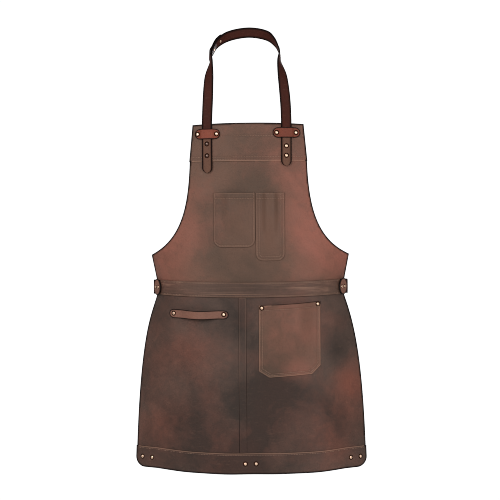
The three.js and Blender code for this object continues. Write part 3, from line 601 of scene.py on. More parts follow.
def leather_piece(
    name,
    outline,
    layer,
    thickness=HIDE,
    lift=None,
    seams=(),
    step=MESH_STEP,
    shift=None,
    rim=ALL_DARK,
    rim_reach=DARK_RIM,
):
    """A piece cut to an outline and laid on the face, with rounded edges and a groove at each seam.
    lift(x, drop) raises it, shift(points) moves its finished points and rim(x, drop) gives how dark
    its edge is."""
    ring = resampled(outline, step * 0.8)
    seams = [np.array(seam, float) for seam in seams]
    inner = inset_ring(ring, 3 * RIM_ROUNDING)
    fill = np.concatenate([inner, grid_inside(inner, step, seams)])
    points, triangles, rim_order = tile_outline(inset_ring(ring, RIM_ROUNDING), fill)

    x, drop = points[:, 0], points[:, 1]
    side_x, side_drop = ring[:, 0], ring[:, 1]
    raised = lift(x, drop) if lift else 0
    side_raised = lift(side_x, side_drop) if lift else 0
    to_seam = np.full(len(points), np.inf)
    for seam in seams:
        to_seam = np.minimum(to_seam, distance_to(seam, points))
    layers = [
        face(x, drop, layer + thickness + raised - GROOVE_DEPTH * bell(to_seam, GROOVE_WIDTH)),
        face(x, drop, layer + raised),
        face(side_x, side_drop, layer + thickness * 0.75 + side_raised),
        face(side_x, side_drop, layer + thickness * 0.25 + side_raised),
    ]
    vertices = np.concatenate(layers)
    if shift:
        vertices = shift(vertices)

    total, count = len(points), len(ring)
    faces = [tuple(t) for t in triangles]
    faces += [tuple(total + i for i in reversed(t)) for t in triangles]
    upper = [2 * total + k for k in range(count)]
    rows = [rim_order, upper, [count + k for k in upper], [total + k for k in rim_order]]
    for above, beneath in zip(rows, rows[1:]):
        faces += [
            (above[i], above[(i + 1) % count], beneath[(i + 1) % count], beneath[i]) for i in range(count)
        ]

    all_x = np.concatenate([x, x, side_x, side_x])
    all_drop = np.concatenate([drop, drop, side_drop, side_drop])
    to_edge = distance_to(ring, points, closed=True)
    on_sides = np.zeros(2 * count)
    near_rim = np.concatenate([to_edge, to_edge, on_sides])
    darkness = rim(all_x, all_drop)
    shares = {
        # Dark edges: the waxed edge with painted edge shade.
        "rim": bell(near_rim, rim_reach) * darkness,
        # Pale rubbed edges, partly wear and partly a painted highlight.
        "wear_and_highlight": bell(near_rim - 1, RUBBED_AND_HIGHLIGHT_REACH) * (1 - darkness),
        "flesh": np.concatenate([np.zeros(total), np.ones(total), on_sides]),
        # Painted shade along each seam's groove.
        "seam": np.concatenate([bell(to_seam, SEAM_SHADE_WIDTH), np.zeros(total), on_sides]),
        "warm": patches_at(WARM_PATCHES, all_x, all_drop),
        "dark": patches_at(DARK_PATCHES, all_x, all_drop),
    }
    return fixed_normals(add_mesh(name, vertices, faces, shares))


# ---- Stitching ----


def stitch_template():
    """One stitch along X: a short thread with rounded ends."""
    sides = 6
    stations = [(-0.5, 0.25), (-0.36, 0.9), (0, 1), (0.36, 0.9), (0.5, 0.25)]
    turns = [2 * math.pi * k / sides for k in range(sides)]
    corners = [
        (along * STITCH_LENGTH, THREAD_RADIUS * size * math.cos(turn), THREAD_RADIUS * size * math.sin(turn))
        for along, size in stations
        for turn in turns
    ]
    return np.array(corners), ring_faces(len(stations), sides)


def stitching(name, body, rows):
    """Thread along each row, which is (corners, distance out of the face, lift or None)."""
    template, template_faces = stitch_template()
    shifts = np.array([-0.5, 0, 0.5]) * STITCH_LENGTH
    vertices, faces = [], []
    for line, out, lift in rows:
        fine = resampled([tuple(p) for p in line], 1.0, closed=False)
        lengths = runs_along(fine)
        for mark in np.arange(STITCH_PITCH / 2, lengths[-1], STITCH_PITCH):
            x = np.interp(mark + shifts, lengths, fine[:, 0])
            drop = np.interp(mark + shifts, lengths, fine[:, 1])
            raised = lift(x, drop) if lift else 0
            start, middle, end = face(x, drop, out + raised * np.ones(3)) / MM
            along = (end - start) / np.linalg.norm(end - start)
            normal = normal_at_spot(x[1], drop[1])
            placed = middle + template @ np.stack([along, np.cross(normal, along), normal])
            base = len(template) * len(vertices)
            vertices.append(placed * MM)
            faces += [tuple(base + i for i in f) for f in template_faces]
    piece = fixed_normals(add_mesh(name, np.concatenate(vertices), faces))
    piece.data.materials.append(materials["thread"])
    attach(piece, body)


# ---- Straps and bars, as a section swept along stations ----


def centripetal(points, steps):
    """A smooth curve through points, with an even number of steps in each stretch."""
    points = np.array(points, float)
    padded = np.concatenate([[2 * points[0] - points[1]], points, [2 * points[-1] - points[-2]]])
    curve = []
    for i in range(len(points) - 1):
        p0, p1, p2, p3 = padded[i : i + 4]
        d0, d1, d2 = (max(1e-4, math.dist(a, b) ** 0.5) for a, b in ((p0, p1), (p1, p2), (p2, p3)))
        t1 = ((p1 - p0) / d0 - (p2 - p0) / (d0 + d1) + (p2 - p1) / d1) * d1
        t2 = ((p2 - p1) / d1 - (p3 - p1) / (d1 + d2) + (p3 - p2) / d2) * d1
        for k in range(steps):
            t = k / steps
            curve.append(
                (2 * t**3 - 3 * t**2 + 1) * p1
                + (t**3 - 2 * t**2 + t) * t1
                + (3 * t**2 - 2 * t**3) * p2
                + (t**3 - t**2) * t2
            )
    curve.append(points[-1])
    return np.array(curve)


def frames_along(points, across):
    """Unit directions across and out at each point of a path."""
    along = np.gradient(points, axis=0)
    along /= np.linalg.norm(along, axis=1, keepdims=True)
    across = across - np.sum(across * along, axis=1, keepdims=True) * along
    across /= np.linalg.norm(across, axis=1, keepdims=True)
    return across, np.cross(along, across)


def strap_section(width, thickness):
    """The strap's section as (across, out): rounded edges and a pressed line beside each edge."""
    w, t = width / 2, thickness / 2
    front = [(w - 0.9, t), (w - 2.2, t), (w - 3.1, t - 0.3), (w - 4.0, t), (w * 0.4, t + 0.1)]
    front += [(-a, b) for a, b in reversed(front)]
    back = [(-w + 0.9, -t), (-w * 0.4, -t), (w * 0.4, -t), (w - 0.9, -t)]
    left = [(-w + 0.25, t * 0.78), (-w, t * 0.3), (-w, -t * 0.3), (-w + 0.25, -t * 0.78)]
    right = [(w - 0.25, -t * 0.78), (w, -t * 0.3), (w, t * 0.3), (w - 0.25, t * 0.78)]
    return np.array(front + left + back + right)


def round_section(radius, sides=16):
    turns = [2 * math.pi * k / sides for k in range(sides)]
    return np.array([(radius * math.cos(t), radius * math.sin(t)) for t in turns])


def swept(name, points, across, section, closed=False, narrow=None):
    """Sweeps a section along points in millimetres. narrow gives the share of the width at each one."""
    if closed:
        ends = np.concatenate([points[-1:], points, points[:1]])
        across_unit, out = frames_along(ends, np.concatenate([across[-1:], across, across[:1]]))
        across_unit, out = across_unit[1:-1], out[1:-1]
    else:
        across_unit, out = frames_along(points, across)
    narrow = np.ones(len(points)) if narrow is None else narrow
    vertices = [
        (point + across_unit[i] * a * narrow[i] + out[i] * b) * MM
        for i, point in enumerate(points)
        for a, b in section
    ]
    half = max(a for a, _ in section)
    to_rim = np.tile([half - abs(a) for a, _ in section], len(points))
    shares = {
        # Dark strap edges: the waxed edge with painted edge shade.
        "rim": bell(to_rim, STRAP_DARK_RIM),
        "warm": np.full(len(vertices), STRAP_MOTTLE),
        "dark": np.full(len(vertices), STRAP_MOTTLE),
    }
    return fixed_normals(add_mesh(name, vertices, ring_faces(len(points), len(section), closed), shares))


def rounded_ends(points, radius, start=True, end=True):
    """Shares of the width that give a strap round ends."""
    runs = runs_along(points)
    total = runs[-1]
    share = np.ones(len(points))
    for wanted, from_end in ((start, runs), (end, total - runs)):
        if wanted:
            run = np.minimum(radius, from_end)
            share = np.minimum(share, np.sqrt(np.maximum(0.004, 1 - ((radius - run) / radius) ** 2)))
    return share


def with_fine_ends(points, across, radius):
    """Adds stations near both ends, so that a round end has a smooth edge."""
    runs = runs_along(points)
    total = runs[-1]
    near = [radius * (1 - math.cos(math.radians(a))) for a in range(0, 91, 10)]
    between = runs[(runs > radius) & (runs < total - radius)]
    marks = sorted(set([*between, *near, *(total - n for n in near)]))
    fine = np.stack([np.interp(marks, runs, points[:, k]) for k in range(3)], axis=1)
    fine_across = np.stack([np.interp(marks, runs, across[:, k]) for k in range(3)], axis=1)
    return fine, fine_across


# ---- Materials ----


class Shader:
    """Builds a node material by short calls."""

    def __init__(self, name):
        self.material = bpy.data.materials.new(name)
        self.material.use_nodes = True
        self.tree = self.material.node_tree
        self.bsdf = self.tree.nodes["Principled BSDF"]
        self.coords = self.tree.nodes.new("ShaderNodeTexCoord").outputs["Object"]

    def put(self, socket, value):
        if isinstance(value, bpy.types.NodeSocket):
            self.tree.links.new(value, socket)
        else:
            socket.default_value = value

    def surface(self, label, value):
        self.put(self.bsdf.inputs[label], value)

    def made(self, kind, inputs, output, **settings):
        """One output of a new node. Each input takes a plain value or another node's output."""
        node = self.tree.nodes.new("ShaderNode" + kind)
        for name, value in settings.items():
            setattr(node, name, value)
        for label, value in inputs.items():
            self.put(node.inputs[label], value)
        return node.outputs[output]

    def noise(self, scale, detail=4, roughness=0.6, stretch=None, distortion=0.0):
        source = self.coords
        if stretch:
            source = self.made("Mapping", {"Vector": source, "Scale": stretch}, "Vector")
        inputs = {"Vector": source, "Scale": scale, "Detail": detail, "Roughness": roughness}
        return self.made("TexNoise", {**inputs, "Distortion": distortion}, "Fac")

    def cells(self, scale):
        return self.made("TexVoronoi", {"Vector": self.coords, "Scale": scale}, "Distance")

    def attribute(self, name):
        return self.made("Attribute", {}, "Fac", attribute_name=name)

    def span(self, value, low, high, to_low=0.0, to_high=1.0):
        inputs = {"Value": value, "From Min": low, "From Max": high, "To Min": to_low, "To Max": to_high}
        return self.made("MapRange", inputs, "Result")

    def math(self, kind, a, b):
        return self.made("Math", {0: a, 1: b}, 0, operation=kind)

    def mix(self, share, a, b):
        return self.made("Mix", {"Factor": share, "A": a, "B": b}, "Result", data_type="RGBA")

    def bump(self, height, distance, strength, below=None):
        inputs = {"Distance": distance, "Strength": strength, "Height": height}
        if below is not None:
            inputs["Normal"] = below
        return self.made("Bump", inputs, "Normal")


def colour(red, green, blue):
    """A linear colour from 0-255 display values."""

    def linear(value):
        share = value / 255
        return share / 12.92 if share <= 0.04045 else ((share + 0.055) / 1.055) ** 2.4

    return (linear(red), linear(green), linear(blue), 1.0)


def leather(name, brown, warm, dark, mottle=1.0, shine=0.15, streaks=0.0):
    """Waxed pull-up hide: warm and dark clouds, fine grain, scuffs, burnished dark edges with painted edge
    shade, pale rubbed edges with a painted highlight and painted shade along the seams.
    """
    s = Shader(name)
    brown, warm, dark = colour(*brown), colour(*warm), colour(*dark)
    clouds = s.noise(6, detail=3, roughness=0.45, distortion=0.3)
    smears = s.noise(8, detail=3, roughness=0.5, distortion=0.5)
    marble = s.noise(38, detail=6, roughness=0.62, distortion=0.8)
    speckle = s.noise(260, detail=4, roughness=0.7)
    scuffs = s.noise(90, detail=4, roughness=0.75, stretch=(0.6, 1.0, 1.5), distortion=1.2)
    grain = s.cells(620)
    pores = s.cells(1500)

    warmth = s.math("ADD", s.attribute("warm"), s.span(clouds, 0.34, 0.68, -0.3, 0.42 * mottle))
    warmth = s.math("ADD", warmth, s.span(marble, 0.35, 0.65, -0.07, 0.07))
    shade = s.math("ADD", s.attribute("dark"), s.span(smears, 0.64, 0.36, -0.25, 0.35 * mottle))
    shade = s.math("ADD", shade, s.span(marble, 0.65, 0.35, -0.09, 0.09))
    base = s.mix(s.span(warmth, 0.0, 1.0), brown, warm)
    base = s.mix(s.span(shade, 0.0, 1.0, 0.0, 0.85), base, dark)
    base = s.mix(s.span(speckle, 0.3, 0.7, 0.0, 0.3), base, s.mix(0.5, base, dark))
    base = s.mix(s.attribute("pale"), base, s.mix(marble, colour(88, 62, 50), colour(108, 76, 62)))
    # A paler tone for scuffs, streaks and the painted edge highlights.
    light = s.mix(0.4, base, colour(186, 144, 120))
    base = s.mix(s.span(scuffs, 0.55, 0.78, 0.0, 0.16), base, light)
    base = s.mix(s.span(grain, 0.5, 0.9, 0.0, 0.25), base, colour(34, 24, 20))
    creased = s.noise(26, detail=3, roughness=0.6, stretch=(0.12, 1.0, 4.0), distortion=0.3)
    base = s.mix(s.span(creased, 0.54, 0.7, 0.0, streaks), base, light)
    base = s.mix(s.span(creased, 0.46, 0.3, 0.0, streaks), base, dark)
    # Pale edges: rubbed wear and a painted highlight.
    base = s.mix(s.span(s.attribute("wear_and_highlight"), 0.1, 1.0, 0.0, 0.75), base, light)
    # Painted shade in the seam grooves.
    base = s.mix(s.span(s.attribute("seam"), 0.1, 1.0, 0.0, 0.12), base, colour(36, 25, 21))
    nap = s.mix(s.span(speckle, 0.3, 0.7), colour(118, 88, 70), colour(84, 62, 50))
    base = s.mix(s.attribute("flesh"), base, s.mix(0.4, nap, dark))
    # Near-black edges: the waxed edge with painted edge shade.
    rim = s.span(s.attribute("rim"), 0.15, 0.75)
    base = s.mix(rim, base, colour(19, 10, 8))
    s.surface("Base Color", base)
    rough = s.span(marble, 0.3, 0.7, 0.44, 0.62)
    s.surface("Roughness", s.math("ADD", rough, s.math("MULTIPLY", rim, 0.3)))
    s.surface("Specular IOR Level", shine)
    creases = s.bump(s.noise(55, detail=3, roughness=0.5, distortion=1.5), 0.0022, 0.22)
    wrinkle = s.bump(s.span(grain, 0.0, 1.0, 1.0, 0.0), 0.0004, 0.35, creases)
    s.surface("Normal", s.bump(s.span(pores, 0.0, 1.0, 1.0, 0.0), 0.00015, 0.4, wrinkle))
    return s.material


def metal(name, bright, dull, roughness):
    """Worn metal with dull patches and fine scratches."""
    s = Shader(name)
    bright, dull = colour(*bright), colour(*dull)
    tarnish = s.noise(420, detail=4, roughness=0.65)
    lines = s.noise(900, detail=3, roughness=0.8, stretch=(1.0, 0.2, 3.0))
    base = s.mix(s.span(tarnish, 0.42, 0.7, 0.0, 0.85), bright, dull)
    base = s.mix(s.span(lines, 0.55, 0.75, 0.0, 0.3), base, dull)
    s.surface("Base Color", base)
    s.surface("Metallic", 1.0)
    s.surface("Roughness", s.span(tarnish, 0.3, 0.75, roughness, roughness + 0.25))
    s.surface("Normal", s.bump(lines, 0.0001, 0.2))
    return s.material


def thread_material():
    """Waxed brown thread with a twist."""
    s = Shader("waxed_thread")
    fibre = s.noise(2500, detail=3, roughness=0.7, stretch=(1.0, 1.0, 0.4))
    s.surface("Base Color", s.mix(s.span(fibre, 0.35, 0.65), colour(168, 130, 108), colour(116, 86, 70)))
    s.surface("Roughness", 0.6)
    s.surface("Normal", s.bump(fibre, 0.0001, 0.5))
    return s.material


# Each hide has a plain, a warm and a dark colour, and each metal a bright and a dull one, as display values.
materials = {
    "brown_leather": leather("brown_leather", (105, 77, 64), (147, 91, 77), (72, 59, 49)),
    "dark_leather": leather("dark_leather", (86, 68, 60), (120, 73, 60), (45, 38, 34)),
    "red_leather": leather("red_leather", (128, 66, 50), (140, 66, 47), (90, 50, 39), 0.5, 0.12),
    "waist_leather": leather("waist_leather", (94, 72, 62), (118, 78, 66), (60, 47, 40), 0.8, streaks=0.5),
    "loop_leather": leather("loop_leather", (128, 90, 76), (142, 92, 76), (96, 68, 58), 0.6),
    "strap_leather": leather("strap_leather", (66, 31, 24), (82, 37, 27), (44, 24, 19), 0.6, 0.06),
    "brass": metal("brass_cap", (250, 218, 190), (186, 128, 94), 0.27),
    "black_metal": metal("black_stud", (120, 100, 92), (52, 40, 36), 0.3),
    "steel": metal("brushed_steel", (205, 202, 198), (138, 134, 130), 0.28),
    # The dark ring round each rivet cap: tarnish and a painted contact shadow.
    "tarnish": metal("tarnish_and_contact_shadow", (66, 38, 28), (26, 16, 12), 0.6),
    "thread": thread_material(),
}


def paled(piece, top, bottom):
    """The strap's ends on the bib are paler; the strap darkens towards the loop, by height from bottom up to
    top.
    """
    heights = np.array([v.co.z for v in piece.data.vertices])
    give_share(piece.data, "pale", 1 - smoothstep(heights, bottom, top))


# ---- Dressing a piece ----


def dress(piece, body, nodes, slot, rides=True, look=None):
    """Gives a piece its material and its place on a body, and hides the CAD nodes that it stands for."""
    if not piece.data.materials:
        piece.data.materials.append(materials[look or slot])
    if rides:
        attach(piece, body)
    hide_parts(*nodes)
    return piece


def sheet_piece(name, node, body, slot, outline, layer, rests_on, held="laid", rides=True, look=None, **cut):
    """A leather piece, cut and dressed. leather_piece takes what cut holds."""
    piece = dress(leather_piece(name, outline, layer, **cut), body, [node], slot, rides, look)
    return piece


def thread_rows(seams, out, lift=None):
    return [(seam, out, lift) for seam in seams]


# ---- Bib ----


def hemmed_mouth(pocket, inner):
    """A pocket's lift: the swell of its front, with a thicker rolled edge at the mouth."""
    width = pocket["right"] - pocket["left"]
    height = pocket["bottom"] - pocket["top"]

    def lift(x, drop):
        from_side = np.minimum(x - pocket["left"], pocket["right"] - x)
        side_share = smoothstep(from_side, STITCH_MARGIN, width * SWELL_FROM_SIDE)
        up_share = smoothstep(pocket["bottom"] - drop, STITCH_MARGIN, height * SWELL_FROM_BOTTOM)
        roll = MOUTH_ROLL * (1 - smoothstep(drop - pocket["top"], inner - 2, inner + 1))
        return pocket["swell"] * side_share * up_share + roll

    return lift


def inset_pocket(pocket, inset):
    return dict(
        pocket,
        left=pocket["left"] + inset,
        right=pocket["right"] - inset,
        bottom=pocket["bottom"] - inset,
        corner=max(SEAM_CORNER, pocket["corner"] - inset),
    )


def across_line(left, right, drop):
    return [(left, drop), (right, drop)]


def make_bib_panel():
    bib = sheet_piece(
        "bib_panel_leather", "bib_panel", "bib", "brown_leather", bib_outline(), FIRST,
        ["neck_strap_left_leather", "neck_strap_right_leather"],
        held="hung", rides=False, rim_reach=WIDE_DARK_RIM,
    )
    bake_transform(bib)


def make_top_band():
    """The band across the bib's top. Returns its rows of thread."""
    sewn_half = BIB_CHEST_HALF - SEAM_END
    seams = [across_line(-sewn_half, sewn_half, TOP_BAND_HEIGHT - inset) for inset in BAND_SEAM_INSETS]
    seams.append(across_line(THREAD_INSET - BIB_TOP_HALF, BIB_TOP_HALF - THREAD_INSET, TOP_SEAM_DROP))
    sheet_piece(
        "bib_top_band_leather", "bib_top_band", "bib", "brown_leather", top_band_outline(), SECOND,
        ["bib_panel_leather"], seams=seams,
        # The band's lower edge is pale across the chest: a painted highlight along it.
        rim=dark_except(TOP_BAND_HEIGHT - PALE_REACH, TOP_BAND_HEIGHT + PALE_REACH, sewn_half),
        rim_reach=WIDE_DARK_RIM,
    )
    return thread_rows(seams, SECOND + HIDE)


def make_bib_pocket(label, pocket):
    """A pocket sewn on round its sides and below its mouth. Returns its rows of thread."""
    lift = hemmed_mouth(pocket, POCKET_HEM)
    seams = [pocket_outline(inset_pocket(pocket, inset)) for inset in pocket["sewn"]]
    left, right = pocket["left"] + THREAD_INSET, pocket["right"] - THREAD_INSET
    seams.append(across_line(left, right, pocket["top"] + POCKET_HEM))
    sheet_piece(
        label + "_leather", label, "bib", "brown_leather", pocket_outline(pocket), SECOND,
        ["bib_panel_leather"], lift=lift, seams=seams, step=MESH_STEP * 0.8,
        rim=even_rim(POCKET_RIM), rim_reach=THIN_DARK_RIM,
    )
    return thread_rows(seams, SECOND + HIDE, lift)


def make_bib():
    make_bib_panel()
    rows = make_top_band()
    rows += make_bib_pocket("chest_pocket", CHEST_POCKET)
    rows += make_bib_pocket("pen_pocket", PEN_POCKET)
    stitching("bib_stitching", "bib", rows)


# ---- Neck strap ----


def foot_of_strap(x):
    """The side of the loop as (point, across) stations, from the bib up to the nape."""
    side = math.copysign(1, x)
    half = STRAP_THICKNESS / 2
    foot = face(x, FOLD_FOOT, THIRD + half) / MM
    normal = normal_at_spot(x, FOLD_FOOT)
    r = NECK_RADIUS
    y = foot[1]
    far = abs(x)
    shift = side * NECK_SHIFT
    climb = [
        (far - 1, y, -0.78 * NECK_RISE, 1, 0.15, 0),
        ((far + r + shift) / 2, y, -0.54 * NECK_RISE, 0.88, 0.47, 0),
        (r + shift, y + 6, -0.38 * NECK_RISE, 0.35, 0.93, 0),
        (r + shift, -0.95 * r, -0.83 * r, 0.05, 0.95, -0.25),
        (0.96 * r + shift, -0.64 * r, -0.63 * r, 0.1, 0.75, -0.6),
        (0.84 * r + shift, -0.36 * r, -0.36 * r, 0.1, 0.55, -0.83),
        (0.58 * r + shift / 2, -0.14 * r, -0.13 * r, 0.05, 0.35, -0.93),
    ]
    points = [foot] + [(side * px, py + half, pz) for px, py, pz, *_ in climb]
    across = [(-normal[1] * side, normal[0] * side, 0)] + [(side * wx, wy, wz) for *_, wx, wy, wz in climb]
    return points, across


def neck_path():
    """Points along the loop's middle from left to right, and unit directions across it and out of it."""
    left_points, left_across = foot_of_strap(LEFT_STRAP_X)
    right_points, right_across = foot_of_strap(RIGHT_STRAP_X)
    nape = [(0, STRAP_THICKNESS / 2, 0)]
    points = centripetal(left_points + nape + right_points[::-1], NECK_STEPS)
    across = centripetal(left_across + [(0, 0.25, -0.97)] + right_across[::-1], NECK_STEPS)
    across, out = frames_along(points, across)
    return points, across, out


def strap_on_face(x, bottom):
    """The strap's end on the bib, from its tip up to the fold."""
    drops = np.arange(bottom, FOLD_FOOT + 4, -4.0)
    xs = np.full(len(drops), float(x))
    points = face(xs, drops, THIRD + STRAP_THICKNESS / 2) / MM
    normals = normal_at(xs, drops)
    side = math.copysign(1, x)
    across = np.stack([-normals[:, 1] * side, normals[:, 0] * side, 0 * xs], axis=1)
    return points, across


def make_neck_strap():
    """Two lengths, each from its end on the bib to the lap. The left one lies over the right one there."""
    points, across, out = neck_path()
    shares = np.linspace(0, 1, len(points))
    raise_by = LAP_RAISE * smoothstep(shares, LAP_START - 0.07, LAP_START - 0.02)
    raised = points + out * raise_by[:, None]
    in_left = shares <= LAP_END
    in_right = shares >= LAP_START
    left_end, left_end_across = strap_on_face(LEFT_STRAP_X, LEFT_TAIL_DROP)
    right_end, right_end_across = strap_on_face(RIGHT_STRAP_X, RIGHT_END_DROP)
    left = (left_end, raised[in_left]), (left_end_across, across[in_left])
    right = (points[in_right], right_end[::-1]), (across[in_right], right_end_across[::-1])

    section = strap_section(STRAP_WIDTH, STRAP_THICKNESS)
    radius = STRAP_WIDTH / 2
    fold_z = -(NECK_RISE - FOLD_RISE) * MM
    for side, nodes, (lines, directions) in (
        ("left", ["neck_strap_short", "neck_strap_left_tail"], left),
        ("right", ["neck_strap_long", "neck_strap_right_end"], right),
    ):
        line, line_across = with_fine_ends(np.concatenate(lines), np.concatenate(directions), radius)
        name = f"neck_strap_{side}_leather"
        strap = swept(name, line, line_across, section, narrow=rounded_ends(line, radius))
        dress(strap, "neck_loop", nodes, "strap_leather", rides=False)
        paled(strap, fold_z - 0.012, fold_z - 0.04)
        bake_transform(strap)


def make_strap_keepers():
    """A short bar of leather over each end of the neck strap, riveted down on both sides of it."""
    rise = STRAP_THICKNESS + 2 * SEAM_GAP
    ramp_start = STRAP_WIDTH / 2 + SEAM_GAP
    ramp_end = KEEPER_RIVET_REACH - CAP_RADIUS - 0.8
    for side, strap_x, drop, beyond_left, beyond_right in KEEPERS:

        def lift(x, _drop, middle=strap_x):
            return rise * (1 - smoothstep(np.abs(x - middle), ramp_start, ramp_end))

        left = strap_x - KEEPER_RIVET_REACH - beyond_left
        right = strap_x + KEEPER_RIVET_REACH + beyond_right
        outline = stadium(left, right, drop, KEEPER_HEIGHT)
        keeper = leather_piece(f"strap_keeper_{side}_leather", outline, THIRD, lift=lift, step=FINEST_STEP)
        dress(keeper, "bib", [f"strap_keeper_{side}"], "red_leather")


# ---- Waist band, skirt and hem ----


def rectangle(left, right, top, bottom):
    return [(left, top), (left, bottom), (right, bottom), (right, top)]


def make_waist_band():
    """The band across the front. Returns its rows of thread."""
    half = TAB_X + TAB_SPAN / 4
    seams = [across_line(4 - half, half - 4, WAIST_DROP + inset) for inset in WAIST_SEAM_INSETS]
    sheet_piece(
        "waist_band_leather", "waist_band", "skirt", "dark_leather",
        rectangle(-half, half, WAIST_DROP, WAIST_BOTTOM), WAIST_LAYER, ["bib_panel_leather"],
        look="waist_leather", seams=seams, step=FINE_STEP, rim=even_rim(WAIST_RIM),
        rim_reach=RUBBED_AND_HIGHLIGHT_REACH,
    )
    return thread_rows(seams, WAIST_LAYER + HIDE)


def make_skirt_panels():
    for label, side in (("left", -1), ("right", 1)):
        sheet_piece(
            f"skirt_{label}_leather", f"skirt_{label}_panel", "skirt", "dark_leather",
            skirt_panel_outline(side), FIRST, ["waist_band_leather"], held="hung", rim_reach=WIDE_DARK_RIM,
        )


def make_hem():
    """The band along the foot of the skirt. Returns its row of thread."""
    half = skirt_half(HEM_TOP)
    seam = across_line(6 - half, half - 6, HEM_TOP + HEM_SEAM_INSET)
    sheet_piece(
        "hem_band_leather", "hem_band", "skirt", "dark_leather", skirt_outline(HEM_TOP), SECOND,
        ["skirt_left_leather", "skirt_right_leather"], seams=[seam],
        # The hem band's top edge is pale: a painted highlight along it.
        rim=dark_except(HEM_TOP - PALE_REACH, HEM_TOP + PALE_REACH, half - 4),
        rim_reach=WIDE_DARK_RIM,
    )
    return thread_rows([seam], SECOND + HIDE)


def make_seam_strip():
    """The thin strip that covers the seam between the two skirt panels."""
    half = SEAM_STRIP_WIDTH / 2
    outline = rectangle(SEAM_X - half, SEAM_X + half, WAIST_BOTTOM + 0.2, HEM_TOP - 0.1)

    # Dark edges with painted edge shade, darker towards the hem.
    def rim(_x, drop):
        return 0.6 + 0.25 * smoothstep(drop, WAIST_DROP, HEM_TOP)

    strip = leather_piece(
        "skirt_seam_strip_leather", outline, SECOND, STRIP_THICKNESS, step=FINE_STEP, rim=rim, rim_reach=1
    )
    dress(strip, "skirt", ["skirt_seam_strip"], "dark_leather")


def make_tool_pocket():
    """The big pocket on the skirt. Returns its rows of thread."""
    pocket = TOOL_POCKET
    lift = hemmed_mouth(pocket, TOOL_POCKET_HEM)
    hem = pocket["top"] + TOOL_POCKET_HEM
    seams = [tool_pocket_outline(pocket, inset) for inset in pocket["sewn"]]
    left, right = pocket["left"] + THREAD_INSET, pocket["right"] - THREAD_INSET
    seams.append([(left, hem + TOOL_POCKET_SLOPE), (right, hem)])
    sheet_piece(
        "tool_pocket_leather", "tool_pocket", "skirt", "brown_leather", tool_pocket_outline(pocket),
        SECOND, ["skirt_right_leather"], lift=lift, seams=seams, step=FINE_STEP,
        # The mouth's edge is dark with a painted shadow at the opening; the other edges are pale with a
        # painted highlight.
        rim=lambda x, drop: np.where(drop < pocket["top"] + TOOL_POCKET_SLOPE, MOUTH_SHADOW_RIM, TOOL_POCKET_RIM),
        rim_reach=THIN_DARK_RIM,
    )
    return thread_rows(seams, SECOND + HIDE, lift)


def make_towel_loop():
    """A strip riveted at both ends, which bows out and sags between them."""
    middle = (LOOP_LEFT + LOOP_RIGHT) / 2
    reach = (LOOP_RIGHT - LOOP_LEFT) / 2 - 2 * LOOP_RIVET_INSET

    def bow(x):
        share = np.clip(np.abs(x - middle) / reach, 0, 1)
        return np.maximum(0, np.cos(share * math.pi / 2)) ** 1.5

    def sagged(vertices):
        moved = vertices.copy()
        moved[:, 2] -= LOOP_SAG * MM * bow(vertices[:, 0] / MM)
        return moved

    loop = leather_piece(
        "towel_loop_leather", stadium(LOOP_LEFT, LOOP_RIGHT, LOOP_DROP, LOOP_HEIGHT), SECOND,
        lift=lambda x, _drop: SEAM_GAP / 2 + LOOP_BOW * bow(x), step=FINER_STEP, shift=sagged,
    )
    dress(loop, "skirt", ["towel_loop"], "red_leather", look="loop_leather")


def make_skirt():
    rows = make_waist_band()
    make_skirt_panels()
    rows += make_hem()
    make_seam_strip()
    rows += make_tool_pocket()
    make_towel_loop()
    stitching("skirt_stitching", "skirt", rows)


# ---- Side tabs, waist strap and buckle ----


def slotted(piece, low, high):
    """Cuts a box, in millimetres, out of a piece."""
    middle = [(a + b) / 2 * MM for a, b in zip(low, high)]
    bpy.ops.mesh.primitive_cube_add(size=1, location=middle)
    die = bpy.context.object
    die.scale = [(b - a) * MM for a, b in zip(low, high)]
    cut = piece.modifiers.new("slot", "BOOLEAN")
    cut.operation = "DIFFERENCE"
    cut.solver = "EXACT"
    cut.object = die
    bpy.context.view_layer.update()
    evaluated = piece.evaluated_get(bpy.context.evaluated_depsgraph_get())
    piece.data = bpy.data.meshes.new_from_object(evaluated)
    piece.modifiers.clear()
    bpy.data.objects.remove(die)
    return piece


def side_start(side):
    """The strap's way from under the side tab round the apron's side, in plan."""
    xs = np.array([ANCHOR_X, ANCHOR_X + 8, ANCHOR_END - 3, ANCHOR_END], float)
    drops = np.full(len(xs), WAIST_MIDDLE, float)
    on_face = face(side * xs, drops, ANCHOR_LAYER + BELT_THICKNESS / 2) / MM
    half = BELT_WIDTH / 2
    turn = [(BELT_SIDE + 3, BELT_TURN_Y - half - 12), (BELT_SIDE, BELT_TURN_Y - half - 2)]
    return [(p[0], p[1], BELT_Z) for p in on_face] + [(side * x, y, BELT_Z) for x, y in turn]


def strap_back(side, setback):
    """The strap's way from the apron's side round the wearer's back, in plan."""
    half = BELT_WIDTH / 2
    plan = [
        (BELT_SIDE - 2, BELT_TURN_Y + half),
        (0.9 * BELT_SIDE, 0.62 * BACK_Y),
        (0.73 * BELT_SIDE, 0.88 * BACK_Y - setback),
        (0.54 * BELT_SIDE, 0.985 * BACK_Y - setback),
        (0.46 * BELT_SIDE, BACK_Y - setback),
    ]
    return [(side * x, y, BELT_Z) for x, y in plan]


def strap_in_plan(name, stations, round_end):
    """A level strap along stations in plan, with a round or a square far end."""
    points = centripetal(stations, 8)
    across = np.tile([0.0, 0.0, 1.0], (len(points), 1))
    radius = BELT_WIDTH / 2
    points, across = with_fine_ends(points, across, radius)
    narrow = rounded_ends(points, radius, start=False, end=round_end)
    return swept(name, points, across, strap_section(BELT_WIDTH, BELT_THICKNESS), narrow=narrow)


